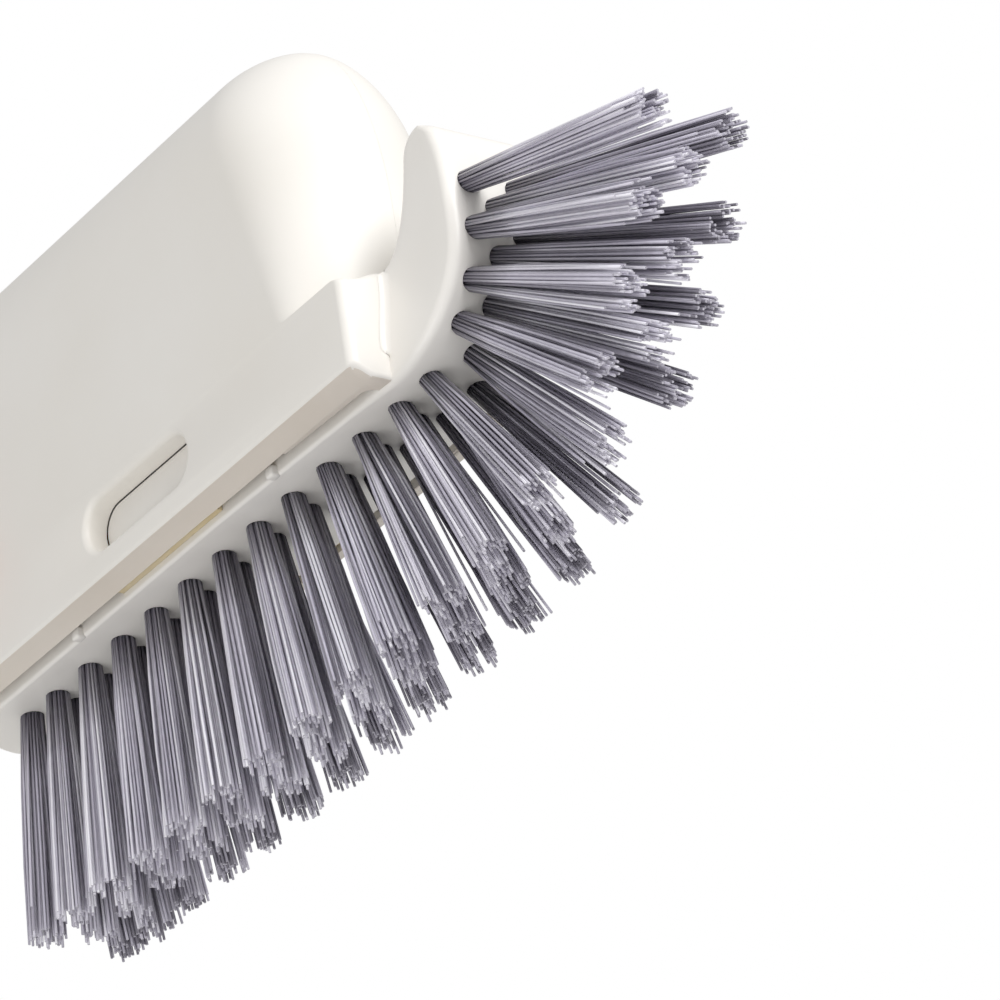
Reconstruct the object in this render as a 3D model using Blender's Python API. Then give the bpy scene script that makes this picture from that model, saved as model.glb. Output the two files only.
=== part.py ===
"""A slim cleaning brush with a J-shaped bristle head that clips into a two-shell handle.

X runs to the nose, Y to the far side and Z up, and the bristles hang down. Sizes are in millimetres,
measured from the carrier's sole at its rearmost tufts, midway between the sides. At the end everything is
moved so that the origin lies below the middle of the whole brush, on the plane that the bristles stand on.
"""

import math

import bmesh
import bpy
from mathutils import Matrix, Vector

MM = 0.001
GAP = 0.3
OVERSHOOT = 2.0  # how far a cutter runs past what it cuts

# Handle, seen from the side: the nose falls back in an arc and the sides start to turn on a leaning line
HALF_WIDTH = 10.2
RIM_Z = 1.2
TOP_Z = 44.7
TOP_ROUND = 13.0
NOSE_X = 64.8
NOSE_ARC_FROM_Z = 21.0
NOSE_ARC_RISE = 22.8
NOSE_ARC_BACK = 10.9
TURN_X = NOSE_X - 6.5
TURN_LEAN = math.tan(math.radians(15.1))
TAIL_X = -124.0
TAIL_TURN = 13.0
TAIL_ARC_BACK = 12.0
GRIP_Z = 12.0
GRIP_ROUND = 4.5
GRIP_COVE = 20.0
COVE_WALL = 1.5
COVE_STEPS = 6
SIDE_FRONT_X = 12.0
SIDE_STEPS = 8
RIM_EDGE = 0.5
WALL = 2.2
LEDGE_Z = 10.4
LEDGE_RISE = 0.5
BLOCK_X = NOSE_X + 3.8
BLOCK_CORNER = 1.2

# Side slots that show the carrier's rails
SLOT_FRONT_X = 41.5
SLOT_LENGTH = 17.7
SLOT_HEIGHT = 5.3
SLOT_Z = 6.55

# Hanging hole in the tail
HANG_X = -108.0
HANG_Z = 26.0
HANG_LENGTH = 18.0
HANG_WIDTH = 9.0
HANG_WALL = 1.8

# Screws that hold the shells together, from the far side
SCREW_PLACES = ((-86.0, 23.2), (-45.0, 30.4), (17.0, 30.4), (48.5, 23.2))
SCREW_SHANK = 2.9
SCREW_HEAD = 5.6
SCREW_HEAD_HEIGHT = 1.9
SCREW_LENGTH = 12.0
SCREW_RECESS = 4.4
CROSS_WIDTH = 0.9
BOSS = 7.6

# Bristle carrier
SOLE_HALF_WIDTH = 6.7
SOLE_HALF_WIDTH_FRONT = 5.1
SOLE_TAPER_FROM_X = 40.0
SOLE_REAR_X = -7.2
GRIP_FRONT_X = SOLE_REAR_X - COVE_WALL
PLATE = 2.7
TOE_RADIUS = 11.8
TOE_START_X = BLOCK_X - 0.7
TOE_UPRIGHT = 4.6
FIN_TIP_RADIUS = 2.5
FIN_TIP_X = TOE_START_X + 8.7
FIN_TIP_Z = 20.2
FIN_POCKET_RISE = 1.2
FIN_EDGE = 0.9
RAIL = 1.8
RAIL_TOP_Z = 11.6
RAIL_OVERHANG = 4.0
PAD = 0.4
PAD_MARGIN = 0.45
NUB = 1.1
NUB_PROUD = 0.35

# Amber core frame round the rails
FRAME_REAR_X = 20.9
FRAME_FRONT_X = 53.0
FRAME_WALL = 0.7
FRAME_TOP_Z = 13.6
FRAME_WEB = 1.4
FRAME_RIM_Z = 1.6
FRAME_WINDOW_MARGIN = 1.2

# Release buttons and their catches
BUTTON_X = -2.0
BUTTON_Z = 14.0
BUTTON_RADIUS = 7.0
BUTTON_TRAVEL = 1.6
BUTTON_PROUD = BUTTON_TRAVEL + 0.8
BUTTON_DISH = 0.7
FLANGE = 1.3
FLANGE_LIP = 1.2
SPRING_RADIUS = 3.0
SPRING_WIRE = 0.8
SPRING_TURNS = 5
SPIGOT_RADIUS = 1.9
SPIGOT_LENGTH = 1.2
PRONG_X = 8.2
PRONG_LENGTH = 4.8
PRONG_TOP_Z = BUTTON_Z + 3.5
PRONG_THICK = 1.5
WINDOW_LENGTH = 2.6
WINDOW_HEIGHT = 4.0
ARM_HEIGHT = 3.2
ARM_THICK = 1.4

# Tufts: three staggered rows, with a closer pitch at the rear end and round the toe
FLAT_TUFTS = 11
TUFT_PITCH = (TOE_START_X - 1.9) / FLAT_TUFTS
END_PITCH = 4.75
TOE_STEPS = (4.7, 5.9, 3.9, 4.9, 4.8)
TOE_TUFTS = len(TOE_STEPS)
ROW_SPACING = 3.0
TUFT_BASE = 2.45
TUFT_TIP = 4.2
TUFT_LENGTH = 24.4
TOE_LENGTH_GAIN = 0.33
STAND_Z = 0.5 - TUFT_LENGTH
ROW_FLARE = math.radians(3.3)
FLAT_LEANS = (2.3, 25.7)  # degrees gained by the end of the flat, evenly and with the square
TOE_LEANS = (36.5, 50.7, 58.7, 64.4, 72.1)
STRANDS = 9
STRAND_MARGIN = 0.09
PLUG = 0.35
STRIP = 1.2
STRIP_WIDTH = ROW_SPACING - GAP

COLOURS = {
    "Off-white ABS": ((231, 226, 220), 0.38, 0.0),
    "Coral ABS": ((228, 96, 76), 0.35, 0.0),
    "Amber polypropylene": ((236, 158, 58), 0.30, 0.0),
    "Grey nylon bristle": ((150, 147, 157), 0.45, 0.0),
    "Zinc-plated steel": ((190, 192, 196), 0.30, 1.0),
}


def clear_scene():
    for obj in list(bpy.data.objects):
        bpy.data.objects.remove(obj, do_unlink=True)


def collection(name, helper=False):
    made = bpy.data.collections.new(name)
    made.hide_render = helper
    bpy.context.scene.collection.children.link(made)
    return made


def linear(channel):
    value = channel / 255
    return value / 12.92 if value <= 0.04045 else ((value + 0.055) / 1.055) ** 2.4


def material(name):
    found = bpy.data.materials.get(name)
    if found:
        return found
    colour, roughness, metallic = COLOURS[name]
    made = bpy.data.materials.new(name)
    made.use_nodes = True
    shader = made.node_tree.nodes["Principled BSDF"]
    shader.inputs["Base Color"].default_value = [linear(c) for c in colour] + [1.0]
    shader.inputs["Roughness"].default_value = roughness
    shader.inputs["Metallic"].default_value = metallic
    return made


def add_object(name, mesh, group, finish=None):
    obj = bpy.data.objects.new(name, mesh)
    group.objects.link(obj)
    if finish:
        mesh.materials.clear()
        mesh.materials.append(material(finish))
    if group is HELPERS:
        obj.hide_render = True
        obj.display_type = "WIRE"
    return obj


def mesh_from(shape, name):
    bmesh.ops.recalc_face_normals(shape, faces=shape.faces)
    for vert in shape.verts:
        vert.co *= MM
    mesh = bpy.data.meshes.new(name)
    shape.to_mesh(mesh)
    shape.free()
    return mesh


def box(name, low, high, group=None):
    """A box between two corners."""
    low, high = Vector(low), Vector(high)
    shape = bmesh.new()
    bmesh.ops.create_cube(shape, size=1.0)
    middle, size = (low + high) / 2, high - low
    bmesh.ops.scale(shape, vec=size, verts=shape.verts)
    bmesh.ops.translate(shape, vec=middle, verts=shape.verts)
    return add_object(name, mesh_from(shape, name), group or HELPERS)


def rod(name, centre_xz, radius, low_y, high_y, segments=20):
    """A cylinder along Y."""
    shape = bmesh.new()
    place = Matrix.Translation((centre_xz[0], (low_y + high_y) / 2, centre_xz[1]))
    bmesh.ops.create_cone(
        shape,
        cap_ends=True,
        segments=segments,
        radius1=radius,
        radius2=radius,
        depth=high_y - low_y,
        matrix=place @ Matrix.Rotation(math.pi / 2, 4, "X"),
    )
    return add_object(name, mesh_from(shape, name), HELPERS)


def solid_outline(name, points, half_thick, place, edge=0.0):
    """A closed 2D outline, extruded both ways, with its edges rounded by edge."""
    curve = bpy.data.curves.new(name, "CURVE")
    curve.dimensions = "2D"
    curve.fill_mode = "BOTH"
    curve.extrude = half_thick * MM
    spline = curve.splines.new("POLY")
    spline.points.add(len(points) - 1)
    for point, (u, v) in zip(spline.points, points):
        point.co = (u * MM, v * MM, 0.0, 1.0)
    spline.use_cyclic_u = True
    flat = bpy.data.objects.new(name + "_outline", curve)
    HELPERS.objects.link(flat)
    bpy.context.view_layer.update()
    mesh = bpy.data.meshes.new_from_object(flat.evaluated_get(bpy.context.evaluated_depsgraph_get()))
    shape = bmesh.new()
    shape.from_mesh(mesh)
    bmesh.ops.remove_doubles(shape, verts=shape.verts, dist=1e-6)
    bmesh.ops.recalc_face_normals(shape, faces=shape.faces)
    if edge:
        bmesh.ops.dissolve_limit(shape, angle_limit=0.001, verts=shape.verts, edges=shape.edges)
        rims = [e for e in shape.edges if abs(e.verts[0].co.z - e.verts[1].co.z) < 1e-7]
        bmesh.ops.bevel(
            shape, geom=rims, offset=edge * MM, segments=3, profile=0.5, affect="EDGES", clamp_overlap=True
        )
    bmesh.ops.transform(shape, matrix=place, verts=shape.verts)
    shape.to_mesh(mesh)
    shape.free()
    bpy.data.objects.remove(flat, do_unlink=True)
    return add_object(name, mesh, HELPERS)


def side_solid(name, points, half_width, edge=0.0, y=0.0):
    """An outline in X and Z, extruded along Y."""
    place = Matrix.Translation((0, y * MM, 0)) @ Matrix.Rotation(math.pi / 2, 4, "X")
    return solid_outline(name, points, half_width, place, edge)


def plan_solid(name, points, low_z, high_z):
    """An outline in X and Y, extruded along Z."""
    place = Matrix.Translation((0, 0, (low_z + high_z) / 2 * MM))
    return solid_outline(name, points, (high_z - low_z) / 2, place)


def arc(centre, radius, start, end, steps):
    """Points on an arc, with angles in degrees from the first axis."""
    found = []
    for i in range(steps + 1):
        angle = math.radians(start + (end - start) * i / steps)
        found.append((centre[0] + radius * math.cos(angle), centre[1] + radius * math.sin(angle)))
    return found


def stadium(centre, length, width, steps=8):
    reach = (length - width) / 2
    front = arc((centre[0] + reach, centre[1]), width / 2, -90, 90, steps)
    return front + arc((centre[0] - reach, centre[1]), width / 2, 90, 270, steps)


def change(target, others, operation, solver):
    """Joins helpers to the target, or cuts them away."""
    for other in others:
        modifier = target.modifiers.new(operation.title() + " " + other.name, "BOOLEAN")
        modifier.operation = operation
        modifier.object = other
        modifier.solver = solver


def cut(target, *others, solver="EXACT"):
    change(target, others, "DIFFERENCE", solver)


def join(target, *others, solver="EXACT"):
    change(target, others, "UNION", solver)


def weld(target):
    """Joins corners that the cuts left a hair apart."""
    modifier = target.modifiers.new("Weld", "WELD")
    modifier.merge_threshold = 1e-5


# Handle form: plan rings, stacked by height


def nose_tip(z):
    if z <= NOSE_ARC_FROM_Z:
        return NOSE_X
    rise = min((z - NOSE_ARC_FROM_Z) / NOSE_ARC_RISE, 1.0)
    return NOSE_X - NOSE_ARC_BACK * (1 - math.sqrt(1 - rise * rise))


def tail_tip(z):
    rise = max(z - (TOP_Z - TOP_ROUND), 0.0) / TOP_ROUND
    return TAIL_X + TAIL_ARC_BACK * (1 - math.sqrt(max(1 - rise * rise, 0.0)))


def half_width(z):
    rise = max(z - (TOP_Z - TOP_ROUND), 0.0) / TOP_ROUND
    return HALF_WIDTH * math.sqrt(max(1 - rise * rise, 0.0))


def underside(share):
    """The underside's height at a share of the way along the cove behind the head."""
    return RIM_Z + (GRIP_Z - RIM_Z) * math.sin(math.pi / 2 * share)


def cove_share(z):
    """How far along the cove the underside reaches this height."""
    height = min(max((z - RIM_Z) / (GRIP_Z - RIM_Z), 0.0), 1.0)
    return math.asin(height) / (math.pi / 2)


def edge_inset(z, share):
    """How far the rounded lower edge stands in at this height and share of the cove."""
    radius = RIM_EDGE + (GRIP_ROUND - RIM_EDGE) * share
    depth = min(max((underside(share) + radius - z) / radius, 0.0), 1.0)
    return radius * (1 - math.sqrt(1 - depth * depth))


def nose_arc(z, wide, inset, steps):
    """The rounded nose at one height, from its near side to its far side."""
    tip = nose_tip(z) - inset
    turn = min(TURN_X - TURN_LEAN * (z - LEDGE_Z), tip - 0.3)
    angles = [math.pi / 2 * i / steps for i in range(-steps, steps + 1)]
    return [(turn + (tip - turn) * math.cos(a), wide * math.sin(a)) for a in angles]


def block_front(wide, tip, steps):
    """The squared front under the ledge, with as many points as the nose has."""
    corner = BLOCK_CORNER
    far = arc((tip - corner, wide - corner), corner, 90, 0, 3)
    flat = [(tip, (wide - corner) * i / (steps - 3)) for i in range(steps - 3)]
    half = far + flat[::-1]
    return [(x, -y) for x, y in half] + half[-2::-1]


def plan_ring(z, grip=True, block=False, inset=0.0, steps=8):
    """The handle's outline at one height: the nose, the far side, the tail and the near side."""
    wide = max(half_width(z) - inset, 0.15)
    end_share = 1.0 if grip else cove_share(z)
    end_x = GRIP_FRONT_X - GRIP_COVE * end_share
    side = []
    for i in range(SIDE_STEPS + 1):
        x = SIDE_FRONT_X + (end_x - SIDE_FRONT_X) * i / SIDE_STEPS
        share = max(GRIP_FRONT_X - x, 0.0) / GRIP_COVE
        side.append((x, max(wide - edge_inset(z, share), 0.15)))
    head_wide = side[0][1]
    end_wide = side[-1][1]
    if block:
        found = block_front(head_wide, BLOCK_X - edge_inset(z, 0.0) - max(z + RIM_EDGE - LEDGE_Z, 0.0), steps)
    else:
        found = nose_arc(z, head_wide, inset, steps)
    found += side
    for i in range(1 - steps, steps):
        angle = math.pi / 2 * i / steps
        if grip:
            tail = tail_tip(z) + inset + edge_inset(z, 1.0)
            turn_length = TAIL_TURN * end_wide / HALF_WIDTH
            found.append((tail + turn_length * (1 - math.cos(angle)), -end_wide * math.sin(angle)))
        else:
            found.append((end_x, -end_wide * i / steps))
    return found + [(x, -y) for x, y in reversed(side)]


def stack(name, levels):
    """A closed solid lofted through plan rings, each given with its height."""
    shape = bmesh.new()
    first = [shape.verts.new((x, y, levels[0][0])) for x, y in levels[0][1]]
    below = first
    for z, ring in levels[1:]:
        above = []
        for under, (x, y) in zip(below, ring):
            spot = Vector((x, y, z))
            above.append(under if (under.co - spot).length < 1e-4 else shape.verts.new(spot))
        for i in range(len(below)):
            j = (i + 1) % len(below)
            corners = list(dict.fromkeys((below[i], below[j], above[j], above[i])))
            if len(corners) > 2:
                shape.faces.new(corners)
        below = above
    shape.faces.new(first[::-1])
    shape.faces.new(below)
    return add_object(name, mesh_from(shape, name), HELPERS)


def upper_heights(start, inset=0.0, steps=7):
    """Heights from the flat sides to the crown, closer together near the top."""
    crown = TOP_Z - TOP_ROUND
    flat = [start + (crown - start) * i / 3 for i in range(1, 4)]
    top = TOP_ROUND - inset
    return flat + [crown + top * math.sin(math.pi / 2 * i / steps) for i in range(1, steps + 1)]


def handle_form(name):
    heights = [RIM_Z, RIM_Z + RIM_EDGE, LEDGE_Z - RIM_EDGE, LEDGE_Z, LEDGE_Z + LEDGE_RISE]
    heights += [underside(i / COVE_STEPS) for i in range(1, COVE_STEPS + 1)]
    heights += [GRIP_Z + GRIP_ROUND * i / 3 for i in range(1, 4)]
    levels = []
    for z in sorted(heights):
        if z <= GRIP_Z:
            levels.append((z, plan_ring(z, grip=False, block=z <= LEDGE_Z)))
        if z >= GRIP_Z:
            levels.append((z, plan_ring(z, block=z <= LEDGE_Z)))
    for z in upper_heights(GRIP_Z + GRIP_ROUND):
        levels.append((z, plan_ring(min(z, TOP_Z - 0.02))))
    return stack(name, levels)


def cavity_form(name):
    levels = []
    floor = GRIP_Z + GRIP_ROUND
    crown = TOP_Z - TOP_ROUND
    for z in [floor] + upper_heights(floor, WALL, steps=4):
        level = z if z <= crown else crown + (z - crown) * TOP_ROUND / (TOP_ROUND - WALL)
        levels.append((z, plan_ring(min(level, TOP_Z - 0.3), inset=WALL, steps=5)))
    return stack(name, levels)


def sole_half_width(x):
    if x <= SOLE_TAPER_FROM_X:
        return SOLE_HALF_WIDTH
    share = (x - SOLE_TAPER_FROM_X) / (BLOCK_X - SOLE_TAPER_FROM_X)
    return SOLE_HALF_WIDTH + (SOLE_HALF_WIDTH_FRONT - SOLE_HALF_WIDTH) * share


def sole_plan(margin, front_x):
    """The carrier's plan outline, grown by a margin, as far as front_x."""
    round_x = SOLE_REAR_X + SOLE_HALF_WIDTH
    near = [(SOLE_TAPER_FROM_X, -SOLE_HALF_WIDTH - margin), (front_x, -sole_half_width(front_x) - margin)]
    far = [(x, -y) for x, y in reversed(near)]
    return near + far + arc((round_x, 0), SOLE_HALF_WIDTH + margin, 90, 270, 10)


def shell_cutters():
    """What both shells are cut by: the cavity, the carrier's pocket, the slots and the button holes."""
    frame_side = SOLE_HALF_WIDTH + GAP + FRAME_WALL + GAP
    flange_room = BUTTON_RADIUS + FLANGE_LIP + GAP
    slot_x = SLOT_FRONT_X - SLOT_LENGTH / 2
    below = RIM_Z - OVERSHOOT
    ceiling = GRIP_Z + GRIP_ROUND + OVERSHOOT / 2
    outside = HALF_WIDTH + OVERSHOOT
    return [
        cavity_form("cavity"),
        plan_solid("carrier_pocket", sole_plan(GAP, NOSE_X - 2 * WALL), below, ceiling),
        plan_solid("plate_notch", sole_plan(GAP, BLOCK_X + OVERSHOOT), below, PLATE + GAP),
        box(
            "frame_pocket",
            (FRAME_REAR_X - GAP, -frame_side, below),
            (FRAME_FRONT_X + GAP, frame_side, FRAME_TOP_Z + GAP),
        ),
        box(
            "button_room",
            (BUTTON_X - flange_room, -HALF_WIDTH + WALL, BUTTON_Z - flange_room - GAP),
            (BUTTON_X + flange_room, HALF_WIDTH - WALL, ceiling),
        ),
        side_solid("side_slot", stadium((slot_x, SLOT_Z), SLOT_LENGTH, SLOT_HEIGHT), outside),
        rod("button_hole", (BUTTON_X, BUTTON_Z), BUTTON_RADIUS + GAP, -outside, outside, 32),
    ]


def make_shell(name, side, form, cutters, hang_wall, hang_hole):
    """One half of the handle. The near one has side -1 and the far one +1."""
    shell = add_object(name, form.data.copy(), PARTS, "Off-white ABS")
    cut(shell, *cutters, solver="MANIFOLD")
    reach = NOSE_X - TAIL_X
    low_y, high_y = (-GAP / 2, reach) if side < 0 else (-reach, GAP / 2)
    holes = [hang_hole, box(name + "_other_half", (-reach, low_y, -reach), (reach, high_y, reach))]
    bosses = [hang_wall]
    for i, place in enumerate(SCREW_PLACES):
        root = side * (HALF_WIDTH - WALL / 2)
        bosses.append(rod(f"{name}_boss_{i}", place, BOSS / 2, min(root, -side), max(root, -side)))
        if side > 0:
            seat = HALF_WIDTH - SCREW_RECESS - SCREW_HEAD_HEIGHT - GAP
            holes.append(rod(f"head_hole_{i}", place, SCREW_HEAD / 2 + GAP, seat, HALF_WIDTH + OVERSHOOT))
            holes.append(rod(f"shank_hole_{i}", place, SCREW_SHANK / 2 + GAP, -OVERSHOOT, seat + GAP, 12))
        else:
            end = HALF_WIDTH - SCREW_RECESS - SCREW_HEAD_HEIGHT - SCREW_LENGTH - GAP
            holes.append(rod(f"pilot_hole_{i}", place, SCREW_SHANK / 2 + GAP, end, OVERSHOOT, 12))
    join(shell, *bosses, solver="MANIFOLD")
    cut(shell, *holes, solver="MANIFOLD")
    weld(shell)
    return shell


def make_screw(i, place):
    """A pan-head screw along Y, its head to the far side, with a cross recess."""
    head_y = HALF_WIDTH - SCREW_RECESS
    base = head_y - SCREW_HEAD_HEIGHT
    profile = [
        (0, head_y),
        (SCREW_HEAD / 2 - 0.6, head_y),
        (SCREW_HEAD / 2, head_y - 0.6),
        (SCREW_HEAD / 2, base),
        (SCREW_SHANK / 2, base),
        (SCREW_SHANK / 2, base - SCREW_LENGTH + 1.2),
        (0, base - SCREW_LENGTH),
    ]
    screw = turned(f"shell_screw_{i + 1}", profile, place, 1, "Zinc-plated steel", steps=16)
    arm = SCREW_HEAD / 2 - 1.1
    for turn, (a, b) in enumerate(((arm, CROSS_WIDTH / 2), (CROSS_WIDTH / 2, arm))):
        low = (place[0] - a, head_y - 1.0, place[1] - b)
        cut(screw, box(f"cross_{i}_{turn}", low, (place[0] + a, head_y + 1, place[1] + b)))
    return screw


def turned(name, profile, place, side, finish, steps=32):
    """A body of revolution along Y, from (radius, height) points given from its outer end inwards."""
    shape = bmesh.new()
    verts = [shape.verts.new((r, 0, h)) for r, h in profile]
    for a, b in zip(verts, verts[1:]):
        shape.edges.new((a, b))
    bmesh.ops.spin(
        shape,
        geom=shape.verts[:] + shape.edges[:],
        cent=(0, 0, 0),
        axis=(0, 0, 1),
        angle=math.tau,
        steps=steps,
        use_merge=True,
    )
    bmesh.ops.remove_doubles(shape, verts=shape.verts, dist=1e-4)
    turn = Matrix.Rotation(-math.pi / 2 * side, 4, "X")
    bmesh.ops.transform(shape, matrix=Matrix.Translation((place[0], 0, place[1])) @ turn, verts=shape.verts)
    return add_object(name, mesh_from(shape, name), PARTS, finish)


def make_core_frame():
    """The amber channel that the rails stand in. Its walls show in the seam between the nubs."""
    inner = SOLE_HALF_WIDTH + GAP
    outer = inner + FRAME_WALL
    low = (FRAME_REAR_X, -outer, FRAME_RIM_Z)
    frame = box("core_frame", low, (FRAME_FRONT_X, outer, FRAME_TOP_Z), PARTS)
    frame.data.materials.append(material("Amber polypropylene"))
    slot_x = SLOT_FRONT_X - SLOT_LENGTH / 2
    margin = 2 * FRAME_WINDOW_MARGIN
    window = stadium((slot_x, SLOT_Z), SLOT_LENGTH + margin, SLOT_HEIGHT + margin)
    hollow_low = (FRAME_REAR_X - OVERSHOOT, -inner, FRAME_RIM_Z - OVERSHOOT)
    hollow_high = (FRAME_FRONT_X + OVERSHOOT, inner, FRAME_TOP_Z - FRAME_WEB)
    cut(
        frame,
        box("frame_hollow", hollow_low, hollow_high),
        side_solid("frame_window", window, outer + OVERSHOOT),
    )
    return frame


# Sole path: flat, then round the toe and up the fin


def sole_point(s, depth=0.0):
    """Where the sole is at this length along it, moved inwards by depth, and which way it faces."""
    quarter = TOE_RADIUS * math.pi / 2
    if s <= TOE_START_X:
        return s, depth, 0.0
    if s <= TOE_START_X + quarter:
        angle = (s - TOE_START_X) / TOE_RADIUS
        reach = TOE_RADIUS - depth
        return TOE_START_X + reach * math.sin(angle), TOE_RADIUS - reach * math.cos(angle), angle
    rise = s - TOE_START_X - quarter
    return TOE_START_X + TOE_RADIUS - depth, TOE_RADIUS + rise, math.pi / 2


def sole_band(start, end, depth, proud=0.0):
    """The side outline of a layer of the sole between two lengths along it."""
    marks = [start, end]
    quarter = TOE_RADIUS * math.pi / 2
    for i in range(13):
        s = TOE_START_X + quarter * i / 12
        if start < s < end:
            marks.append(s)
    marks.sort()
    outer = [sole_point(s, -proud)[:2] for s in marks]
    inner = [sole_point(s, depth)[:2] for s in reversed(marks)]
    return outer + inner


def outer_stations():
    flat = [TUFT_PITCH * (i + 1) for i in range(FLAT_TUFTS)]
    toe = [flat[-1] + sum(TOE_STEPS[: i + 1]) for i in range(TOE_TUFTS)]
    return [flat[0] - END_PITCH] + flat + toe


def middle_stations():
    outer = outer_stations()
    return [(a + b) / 2 for a, b in zip(outer, outer[1:])]


def tuft_lean(s):
    """The lean forwards from straight down, in radians."""
    flat_end = TUFT_PITCH * FLAT_TUFTS
    share = min(s / flat_end, 1.0)
    degrees = FLAT_LEANS[0] * share + FLAT_LEANS[1] * share * share
    before = degrees
    start = flat_end
    for step, lean in zip(TOE_STEPS, TOE_LEANS):
        if s > start:
            degrees = before + (lean - before) * min((s - start) / step, 1.0)
        before = lean
        start += step
    return math.radians(degrees)


def tuft_length(s):
    return TUFT_LENGTH + TOE_LENGTH_GAIN * max(s - TUFT_PITCH * FLAT_TUFTS, 0.0)


def add_tuft(shape, s, row):
    """A round plug whose end face is split like a pie, with a strand drawn out of each slice."""
    x, z, facing = sole_point(s)
    square = Matrix.Translation((x, row * ROW_SPACING, z)) @ Matrix.Rotation(math.pi - facing, 4, "Y")
    made = bmesh.ops.create_cone(
        shape,
        cap_ends=True,
        cap_tris=True,
        segments=STRANDS,
        radius1=TUFT_BASE / 2,
        radius2=TUFT_BASE / 2,
        depth=2 * PLUG,
        matrix=square,
    )
    outwards = square.to_3x3() @ Vector((0, 0, 1))
    centre = Vector((x, row * ROW_SPACING, z))
    lean = tuft_lean(s)
    flare = row * ROW_FLARE
    along = Vector((math.sin(lean) * math.cos(flare), math.sin(flare), -math.cos(lean) * math.cos(flare)))
    faces = {f for v in made["verts"] for f in v.link_faces}
    caps = [f for f in faces if len(f.verts) == 3 and (f.calc_center_median() - centre).dot(outwards) > 0]
    bmesh.ops.inset_individual(shape, faces=caps, thickness=STRAND_MARGIN, depth=0.0, use_even_offset=True)
    drawn = bmesh.ops.extrude_discrete_faces(shape, faces=caps)["faces"]
    spread = (TUFT_TIP - TUFT_BASE) / TUFT_BASE
    for face in drawn:
        off = face.calc_center_median() - centre
        off -= outwards * off.dot(outwards)
        off -= along * off.dot(along)
        shift = along * tuft_length(s) + off * spread
        bmesh.ops.translate(shape, vec=shift, verts=face.verts)
        for vert in face.verts:
            if vert.co.z < STAND_Z:
                vert.co += along * (STAND_Z - vert.co.z) / along.z


def make_tufts(name, row, stations, start, end):
    """One slice of the sole with its tufts."""
    outline = sole_band(start + GAP / 2, end - GAP / 2, STRIP)
    strip = side_solid(name + "_strip", outline, STRIP_WIDTH / 2, y=row * ROW_SPACING)
    node = add_object(name, strip.data.copy(), PARTS, "Grey nylon bristle")
    node.matrix_world = strip.matrix_world.copy()
    bpy.data.objects.remove(strip, do_unlink=True)
    shape = bmesh.new()
    for s in stations:
        add_tuft(shape, s, row)
    join(node, add_object(name + "_strands", mesh_from(shape, name + "_strands"), HELPERS))
    return node


def make_tuft_rows():
    sole_start = SOLE_REAR_X + 4.6
    sole_end = outer_stations()[-1] + TUFT_BASE
    names = {-1: "near", 0: "middle", 1: "far"}
    made = []
    for row, side in names.items():
        stations = middle_stations() if row == 0 else outer_stations()
        split = [0, 6, len(stations) - TOE_TUFTS, len(stations)]
        edges = [(stations[i - 1] + stations[i]) / 2 for i in split[1:-1]]
        bounds = [sole_start] + edges + [sole_end]
        for i, part in enumerate(("rear", "front", "toe")):
            group = stations[split[i] : split[i + 1]]
            made.append(make_tufts(f"{side}_{part}_tufts", row, group, bounds[i], bounds[i + 1]))
    return made, sole_start, sole_end


def fin_outline():
    """The toe's side outline: round the toe, up the fin, over its tip and down its hollow back."""
    back = BLOCK_X + GAP
    tip = (FIN_TIP_X, FIN_TIP_Z)
    points = [(BLOCK_X - 8, 0.0)] + arc((TOE_START_X, TOE_RADIUS), TOE_RADIUS, -90, 0, 12)
    points += [(TOE_START_X + TOE_RADIUS, TOE_RADIUS + TOE_UPRIGHT)]
    points += arc(tip, FIN_TIP_RADIUS, 5, 165, 7)
    end = Vector((back, LEDGE_Z + FIN_POCKET_RISE))
    start, bend = Vector(points[-1]), Vector((FIN_TIP_X - 3.6, end.y + FIN_POCKET_RISE))
    for i in range(1, 7):
        t = i / 6
        spot = start * (1 - t) ** 2 + bend * (2 * t * (1 - t)) + end * t**2
        points.append((spot.x, spot.y))
    return points + [(back, PLATE), (BLOCK_X - 8, PLATE)]


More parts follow.
